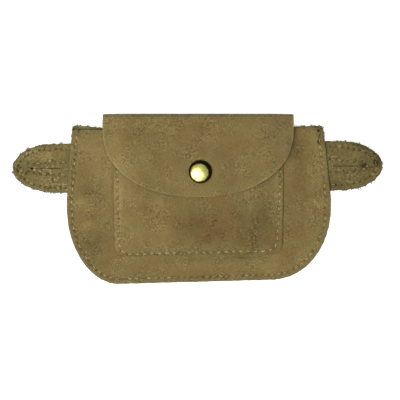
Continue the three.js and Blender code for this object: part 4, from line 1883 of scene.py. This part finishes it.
@dataclass(frozen=True)
class SideTab:
    """A leaf-shaped tab of two hides, with a slit that ends in a round stop hole."""

    body: Body  # The body that carries it
    side: Side  # Which side it is on
    tip: Span  # Its outermost point
    low: float  # Height of its lower edge
    top: float  # Height of its upper edge
    shoulder_x: float  # Where its edges start to curve
    slit_x: float  # Inner end of the slit
    hole: Span  # Middle of the stop hole
    marks: tuple[NapAndShadeMark, ...]  # Patches of its nap, some of them painted shade
    seam_inset: float  # Distance of the edge row from the edge
    seam_pitch: float  # Pitch of the edge row
    edge_dark: float  # How deep the painted shade on the upper edge is
    hide: float = 1.5  # Thickness of the face leaf
    fullness: float = 0.5523  # Fullness of the curve
    face_slit: Span = (0.22, 0.9)  # Width of the face's slit and radius of its stop hole, closed up
    backing_slit: Span = (0.12, 0.2)  # The same of the backing
    slit_pitch: float = 4.1  # Pitch of the row round the slit
    lift: float = 0.7  # How far the leaf stands off the table at most

    # Both rows start this far off the body; the slit's row by distances off the slit at its two ends,
    # and by distances past the stop hole and off the slit round it
    ROW_START = 1.8
    SLIT_ENDS = (4.2, 4.4)
    SLIT_ROW = ((-6.0, 3.4), (1.5, 2.4), (3.4, 0.0))
    # Distances from the pouch's middle where the lift, the painted shade on the edge and the fibres set in
    LIFT_FROM = (89.0, 102.0)
    SHADE_FROM = (91.0, 101.0)
    FUZZ_FROM = 88.0
    # Heights over the tip where the painted shade on the edge sets in, and the size of the leaf's waves
    SHADE_UP = (-2.0, 10.0)
    WAVE = 11.0
    # Painted shade at the bottom of the stop hole, on the backing that shows through it: half width, half
    # height, tone
    DOT = (1.6, 1.6, -4.0)

    LEFT_MARKS = patches(
        (-105.0, 20.0, 40.0, 40.0, 0.1), (-97.5, 18.9, 9.0, 0.9, 0.4), (-106.0, 19.6, 0.9, 0.8, 4.0),
        (-94.0, 29.0, 8.0, 4.5, 0.6, 0.3), (-104.0, 21.3, 6.0, 4.0, -0.35), (-115.2, 18.6, 0.9, 0.9, 1.2),
        (-117.1, 19.0, 0.6, 1.3, -2.2), (-115.4, 20.6, 1.3, 0.6, -2.2), (-113.3, 19.6, 0.6, 1.2, -1.8),
        (-114.6, 16.8, 1.2, 0.6, -1.8), (-116.4, 22.0, 0.6, 0.6, -2.4), (-111.6, 16.5, 0.6, 0.6, -2.2),
        (-109.6, 18.0, 0.7, 0.6, -2.2), (-110.0, 23.4, 0.7, 0.6, -2.2),
        # The patch at (-83.8, 26) is the dark red of the cut edge at the tab's root, with painted shade of
        # its gap against the body
        (-113.6, 24.0, 5.0, 5.0, 0.0, -0.4), (-83.8, 26.0, 0.9, 6.0, -0.4, 1.0),
        (-88.5, 13.5, 2.5, 3.0, 0.0, 0.8),
    )

    RIGHT_MARKS = patches(
        # The first patch darkens the whole tab as painted shade, on the side away from the lamp; the one at
        # the stop hole is painted shade round it
        (105.0, 21.0, 40.0, 40.0, -0.6), (116.4, 23.8, 1.1, 1.0, -5.0), (107.6, 21.6, 1.9, 1.7, -2.2),
        (107.0, 33.5, 5.0, 2.5, -0.5, -1.0), (118.0, 26.5, 2.0, 5.0, -0.2, -0.5),
        (114.5, 14.0, 5.0, 5.0, 0.2, 0.5), (112.3, 20.7, 2.2, 0.5, -0.9), (98.0, 14.0, 8.0, 3.0, 0.3),
    )

    @classmethod
    def pair(cls, body: Body) -> "tuple[SideTab, SideTab]":
        """Both tabs, each as it was cut and sewn by hand.

        Args:
            body: The body that carries them.

        Returns:
            The left and the right tab.
        """
        left = cls(
            body, Side.LEFT, tip=(-120.0, 20.0), low=4.2, top=35.9, shoulder_x=-92.7, slit_x=-88.5,
            hole=(-107.6, 19.9), marks=cls.LEFT_MARKS, seam_inset=3.2, seam_pitch=3.5, edge_dark=0.5,
        )
        right = cls(
            body, Side.RIGHT, tip=(120.0, 21.6), low=5.7, top=37.5, shoulder_x=92.5, slit_x=88.5,
            hole=(107.6, 21.6), marks=cls.RIGHT_MARKS, seam_inset=3.6, seam_pitch=3.9, edge_dark=0.8,
        )
        return left, right

    @property
    def label(self) -> str:
        """Start of its pieces' names."""
        return f"tab_{self.side.label}"

    def _arc(self, inset: float) -> Plane:
        """Draws the free edge, or a line inside it.

        Args:
            inset: Distance inside the edge.

        Returns:
            Points from the low shoulder round the tip to the top one.
        """
        tip_x, tip_y = self.tip[0] - self.side.value * inset, self.tip[1]
        pull = self.fullness * (tip_x - self.shoulder_x)
        lower, upper = (
            bend([
                (self.shoulder_x, y),
                (self.shoulder_x + pull, y),
                (tip_x, tip_y + self.fullness * (y - tip_y)),
                (tip_x, tip_y),
            ])
            for y in (self.low + inset, self.top - inset)
        )
        return np.vstack([lower, upper[-2::-1]])

    def _leaf(self, root: float) -> Plane:
        """Draws a leaf's edge.

        Args:
            root: Length of its root inside the body's edge.

        Returns:
            Points of the loop.
        """
        back = self.side.value * root
        ends = [(self.body.side_x(self.side, y) - back, y) for y in (self.top, self.low)]
        return np.vstack([self._arc(0.0), ends])

    def _slit(self, width: float, radius: float) -> Plane:
        """Draws the slit as the soft hide closes on it, with its stop hole.

        Args:
            width: Width of the slit.
            radius: Radius of the stop hole.

        Returns:
            Points of the loop.
        """
        way = self.side.value
        half = width / 2
        opening = math.asin(half / radius)
        turn = np.linspace(math.pi + opening, 3 * math.pi - opening, 17)
        x = self.hole[0] + way * radius * np.cos(turn)
        y = self.hole[1] + radius * np.sin(turn)
        ends = [(self.slit_x, self.hole[1] + half), (self.slit_x, self.hole[1] - half)]
        return np.vstack([np.column_stack([x, y]), ends])

    def _rows(self) -> list[Seam]:
        """The row inside the edge, and the row round the slit.

        Returns:
            Both rows.
        """
        way, (hole_x, hole_y) = self.side.value, self.hole
        start_x = self.body.side_x(self.side, hole_y) + way * self.ROW_START
        edge = self._arc(self.seam_inset)
        edge = np.vstack([(start_x, edge[0, 1]), edge, (start_x, edge[-1, 1])])
        around = [(hole_x + way * past, off) for past, off in self.SLIT_ROW]
        below, above = ([(start_x, end), *around] for end in self.SLIT_ENDS)
        slit = [(x, hole_y - off) for x, off in below] + [(x, hole_y + off) for x, off in above[-2::-1]]
        seed = 40 + way
        return [
            Seam(
                f"{self.label}_edge_row", resample(edge, 1.0), self.seam_pitch, slant=0.1, wander=0.35,
                soil=0.75, spread=0.25, seed=seed, bridge=0.16, bore=0.6, pull=0.22,
            ),
            Seam(
                f"{self.label}_slit_row", resample(np.array(slit), 1.0), self.slit_pitch, wander=0.5,
                soil=0.7, seed=seed + 4, bridge=0.3, bore=0.54, pull=0.2,
            ),
        ]

    def _edge_tone(self, plan: Plane) -> Reals:
        """Painted shade on the upper outer side of the edge, which faces away from the lamp."""
        upper = smoothstep(plan[:, 1] - self.tip[1], *self.SHADE_UP)
        return -self.edge_dark * upper * smoothstep(np.abs(plan[:, 0]), *self.SHADE_FROM)

    def _laid(self, height: float) -> Callable[[Plane], Space]:
        """Lays a leaf so that it waves a little off the table away from the body.

        Args:
            height: Height of its middle surface.

        Returns:
            The surface.
        """
        wave = ((0.5, self.WAVE, 60 + self.side.value),)
        return raised(
            lambda plan: height
            + self.lift * (0.5 + waves(plan, wave)) * smoothstep(np.abs(plan[:, 0]), *self.LIFT_FROM)
        )

    def build(self, shop: Workshop) -> Pieces:
        """Makes both leaves and their stitches.

        Args:
            shop: The workshop.

        Returns:
            The pieces.
        """
        rows, under, way = self._rows(), self.body.hide, self.side.value
        leaf = partial(Hide, finish="tab_suede", seams=rows, fray=0.34)
        face = leaf(
            node=f"{self.label}_face", outline=self._leaf(self.body.tab_root),
            surface=self._laid(under + self.body.gap + self.hide / 2), thickness=self.hide,
            openings=[self._slit(*self.face_slit)], marks=self.marks, edge_tone=self._edge_tone,
            edge_green=0.35, step=0.6, seed=8 + way,
        )
        backing = leaf(
            node=f"{self.label}_backing", outline=self._leaf(-self.body.gap), surface=self._laid(under / 2),
            thickness=under, openings=[self._slit(*self.backing_slit)],
            marks=patches((*self.hole, *self.DOT)), step=0.8, seed=12 + way,
        )
        made = shop.lay(face, backing.node, rows) + shop.lay(backing, face.node, rows, Face.INNER)
        fuzz = Fringe(f"{self.label}_fibres", count=320, length=2.2, radius=0.18, seed=30 + way)
        return [*made, fuzz.build(face, shop.finishes, lambda rim: np.abs(rim[:, 0]) > self.FUZZ_FROM)]


# The press stud


@dataclass(frozen=True)
class PressStud:
    """The domed cap with its socket on the flap, and the stud on the pocket."""

    flap: Flap  # The flap that carries the cap
    pocket: Pocket  # The pocket that carries the stud
    cap_radius: float = 7.5  # Radius of the cap
    cap_edge: float = 0.3  # Radius of the cap's rolled edge
    cap_rise: float = 2.6  # Height of the dome over the edge
    post: float = 2.2  # Radius of the posts
    gap: float = 0.3  # Clearance against the hides
    socket: float = 6.2  # Radius of the socket
    socket_bore: float = 3.2  # Radius of its bore
    socket_height: float = 1.8  # Height of the socket
    socket_plate: float = 0.4  # Depth of the bore's floor
    stud: float = 5.6  # Radius of the stud's plate
    stud_plate: float = 0.7  # Thickness of the plate
    knob: float = 2.9  # Radius of the knob
    knob_height: float = 1.3  # Height of the knob
    # The knob's foot, the height of its widest place, and its top, as shares
    knob_shape: tuple[float, float, float] = (0.85, 0.6, 0.8)
    rivet: float = 4.8  # Radius of the stud's rivet head
    rivet_plate: float = 0.7  # Thickness of the head
    sides: int = 96  # Sides of the turned pieces
    worn: Span = (-0.55, -0.6)  # Middle of the dark rim's ring, off the dome's middle to the lower left, so that the rim also paints a dark reflection at the upper right

    def _turned(self, name: str, node: str, profile: Sequence[tuple[float, float]]) -> bpy.types.Object:
        """Turns a profile round the stud's axis.

        Args:
            name: Name of the piece.
            node: The solid that it replaces.
            profile: Radius and height, from the axis below to the axis above.

        Returns:
            The piece.
        """
        rings = [
            np.column_stack([radius * ring(self.sides), np.full(self.sides, height)])
            for radius, height in profile[1:-1]
        ]
        points = np.vstack([*rings, *((0.0, 0.0, profile[end][1]) for end in (0, -1))])
        off = points[:, :2] - self.worn
        marks = {"cut": points, "rim": np.hypot(off[:, 0], off[:, 1]) / self.cap_radius}
        faces = ring_faces(len(rings), self.sides)
        piece = make_piece(name, points + (*self.flap.snap, 0.0), faces, marks)
        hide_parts(node)
        return piece

    def build(self, finishes: Finishes) -> Pieces:
        """Makes the cap and the stud.

        Args:
            finishes: The pouch's finishes.

        Returns:
            The pieces.
        """
        snap = np.array([self.flap.snap])
        half = self.flap.body.hide / 2
        over = float(self.flap.height(snap)[0]) + half + self.gap
        under = over - 2 * half - 2 * self.gap
        edge = self.cap_edge
        roll = [
            (self.cap_radius - edge + edge * math.cos(a), over + edge + edge * math.sin(a))
            for a in np.linspace(-math.pi / 2, 0, 7)
        ]
        dome = [
            (self.cap_radius * math.cos(a), over + 2 * edge + self.cap_rise * math.sin(a))
            for a in np.linspace(0, math.pi / 2, 30)
        ]
        cap = self._turned(
            "snap_cap_brass", "snap_cap", [
                (0, under - self.socket_plate), (self.socket_bore, under - self.socket_plate),
                (self.socket_bore, under - self.socket_height), (self.socket, under - self.socket_height),
                (self.socket, under), (self.post, under), (self.post, over), *roll, *dome,
            ],
        )
        seat = float(self.pocket.height(snap)[0]) + half + self.gap
        inside = seat - 2 * half - 2 * self.gap
        plate = seat + self.stud_plate
        foot, widest, top = self.knob_shape
        stud = self._turned(
            "snap_stud_brass", "snap_stud", [
                (0, inside - self.rivet_plate), (self.rivet, inside - self.rivet_plate),
                (self.rivet, inside), (self.post, inside), (self.post, seat), (self.stud, seat),
                (self.stud, plate), (self.knob * foot, plate),
                (self.knob, plate + self.knob_height * widest),
                (self.knob * top, plate + self.knob_height), (0, plate + self.knob_height),
            ],
        )
        for piece in (cap, stud):
            finishes.dress(piece, "brass")
        return [cap, stud]


# The studio


@dataclass(frozen=True)
class Studio:
    """White sweep, soft light and the camera straight above."""

    span: float = 260.0  # Width of the picture on the table
    aim: Span = (1.6, -0.58)  # Place in the middle of the picture
    aim_z: float = 3.0  # Height at which the width holds
    lens: float = 200.0  # Focal length
    sensor: float = 36.0  # Sensor width
    far: float = 20.0  # Farthest that the camera sees, in metres
    floor: float = 3.0  # Half of the floor's width, in metres
    floor_drop: float = 0.1  # How far the floor lies under the pouch, clear of its nap
    key_place: tuple[float, float, float] = (-0.7, -0.6, 2.12)  # Place of the big lamp, in metres
    key_size: float = 1.9  # Width of the lamp, in metres
    key_power: float = 48.0  # Power of the lamp, in watts
    sky: float = 0.42  # Brightness of the soft light overhead
    horizon: float = 0.22  # Brightness of the soft light near the ground
    dim: float = 0.28  # Share of the soft light lost towards the upper right

    def build(self, finishes: Finishes) -> None:
        """Sets up the studio.

        Args:
            finishes: The pouch's finishes, with the floor's.
        """
        self._lay_floor(finishes)
        self._light()
        self._aim_camera()

    def _lay_floor(self, finishes: Finishes) -> None:
        """Lays the sweep just under the pouch.

        Args:
            finishes: The pouch's finishes, with the floor's.
        """
        mesh = bpy.data.meshes.new("sweep")
        edge, low = self.floor, -self.floor_drop * MM
        corners = [(-edge, -edge, low), (edge, -edge, low), (edge, edge, low), (-edge, edge, low)]
        mesh.from_pydata(corners, [], [(0, 1, 2, 3)])
        sweep = bpy.data.objects.new("sweep", mesh)
        bpy.context.scene.collection.objects.link(sweep)
        sweep.data.materials.append(finishes.made["pale_floor"])
        sweep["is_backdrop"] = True

    def _light(self) -> None:
        """Hangs the big lamp and sets the soft light all round."""
        lamp = bpy.data.lights.new("key", "AREA")
        lamp.shape = "DISK"
        lamp.size = self.key_size
        lamp.energy = self.key_power
        key = bpy.data.objects.new("key", lamp)
        key.location = self.key_place
        key.rotation_euler = Vector(self.key_place).to_track_quat("Z", "Y").to_euler()
        bpy.context.scene.collection.objects.link(key)
        world = bpy.data.worlds.new("soft_light")
        world.use_nodes = True
        bpy.context.scene.world = world
        board = Board(world.node_tree)
        way = board.value("ShaderNodeTexCoord", "Generated")
        split = board.node("ShaderNodeSeparateXYZ", None, {"Vector": way})
        up = Wire(board, split.outputs["Z"]).ease(0.0, 0.9)
        away = (Wire(board, split.outputs["X"]) + Wire(board, split.outputs["Y"])).ease(0.0, 1.0)
        level = (self.horizon + up * (self.sky - self.horizon)) * (1 - away * self.dim)
        white = {"Color": (1.0, 1.0, 1.0, 1.0), "Strength": level}
        glow = board.value("ShaderNodeBackground", "Background", None, white)
        board.node("ShaderNodeOutputWorld", None, {"Surface": glow})

    def _aim_camera(self) -> None:
        """Places the camera straight above, with the pouch's foot at the foot of the picture."""
        data = bpy.data.cameras.new("camera")
        data.lens = self.lens
        data.sensor_width = self.sensor
        data.clip_end = self.far
        camera = bpy.data.objects.new("camera", data)
        height = self.aim_z + self.span / 2 / (self.sensor / 2 / self.lens)
        camera.location = (self.aim[0] * MM, self.aim[1] * MM, height * MM)
        bpy.context.scene.collection.objects.link(camera)
        scene = bpy.context.scene
        scene.camera = camera
        scene.view_settings.view_transform = "Standard"
        scene.view_settings.look = "None"


def corners() -> list[list[float]]:
    """Lowest and highest corner of what shows, as plain numbers."""
    return [list(corner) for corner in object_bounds()]


def main() -> None:
    """Builds the pouch piece by piece, then the studio round it."""
    logging.basicConfig(level=logging.INFO, format="%(message)s")
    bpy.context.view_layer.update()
    shop = Workshop(Finishes(), Needlework())
    body = Body()
    pocket = Pocket(body)
    flap = Flap(body, pocket)
    # The pocket's left edge and the flap's free edge get painted shadow lines on the hides under them
    made = body.build(shop, [pocket.shadow_edge(), flap.free_edge()])
    made += pocket.build(shop, flap.post_hole(), [flap.free_edge()])
    made += flap.build(shop)
    for tab in SideTab.pair(body):
        made += tab.build(shop)
    made += PressStud(flap, pocket).build(shop.finishes)
    for piece in made:
        LOG.info("%s: %d faces", piece.name, len(piece.data.polygons))
    Studio().build(shop.finishes)


if __name__ == "__main__":
    main()
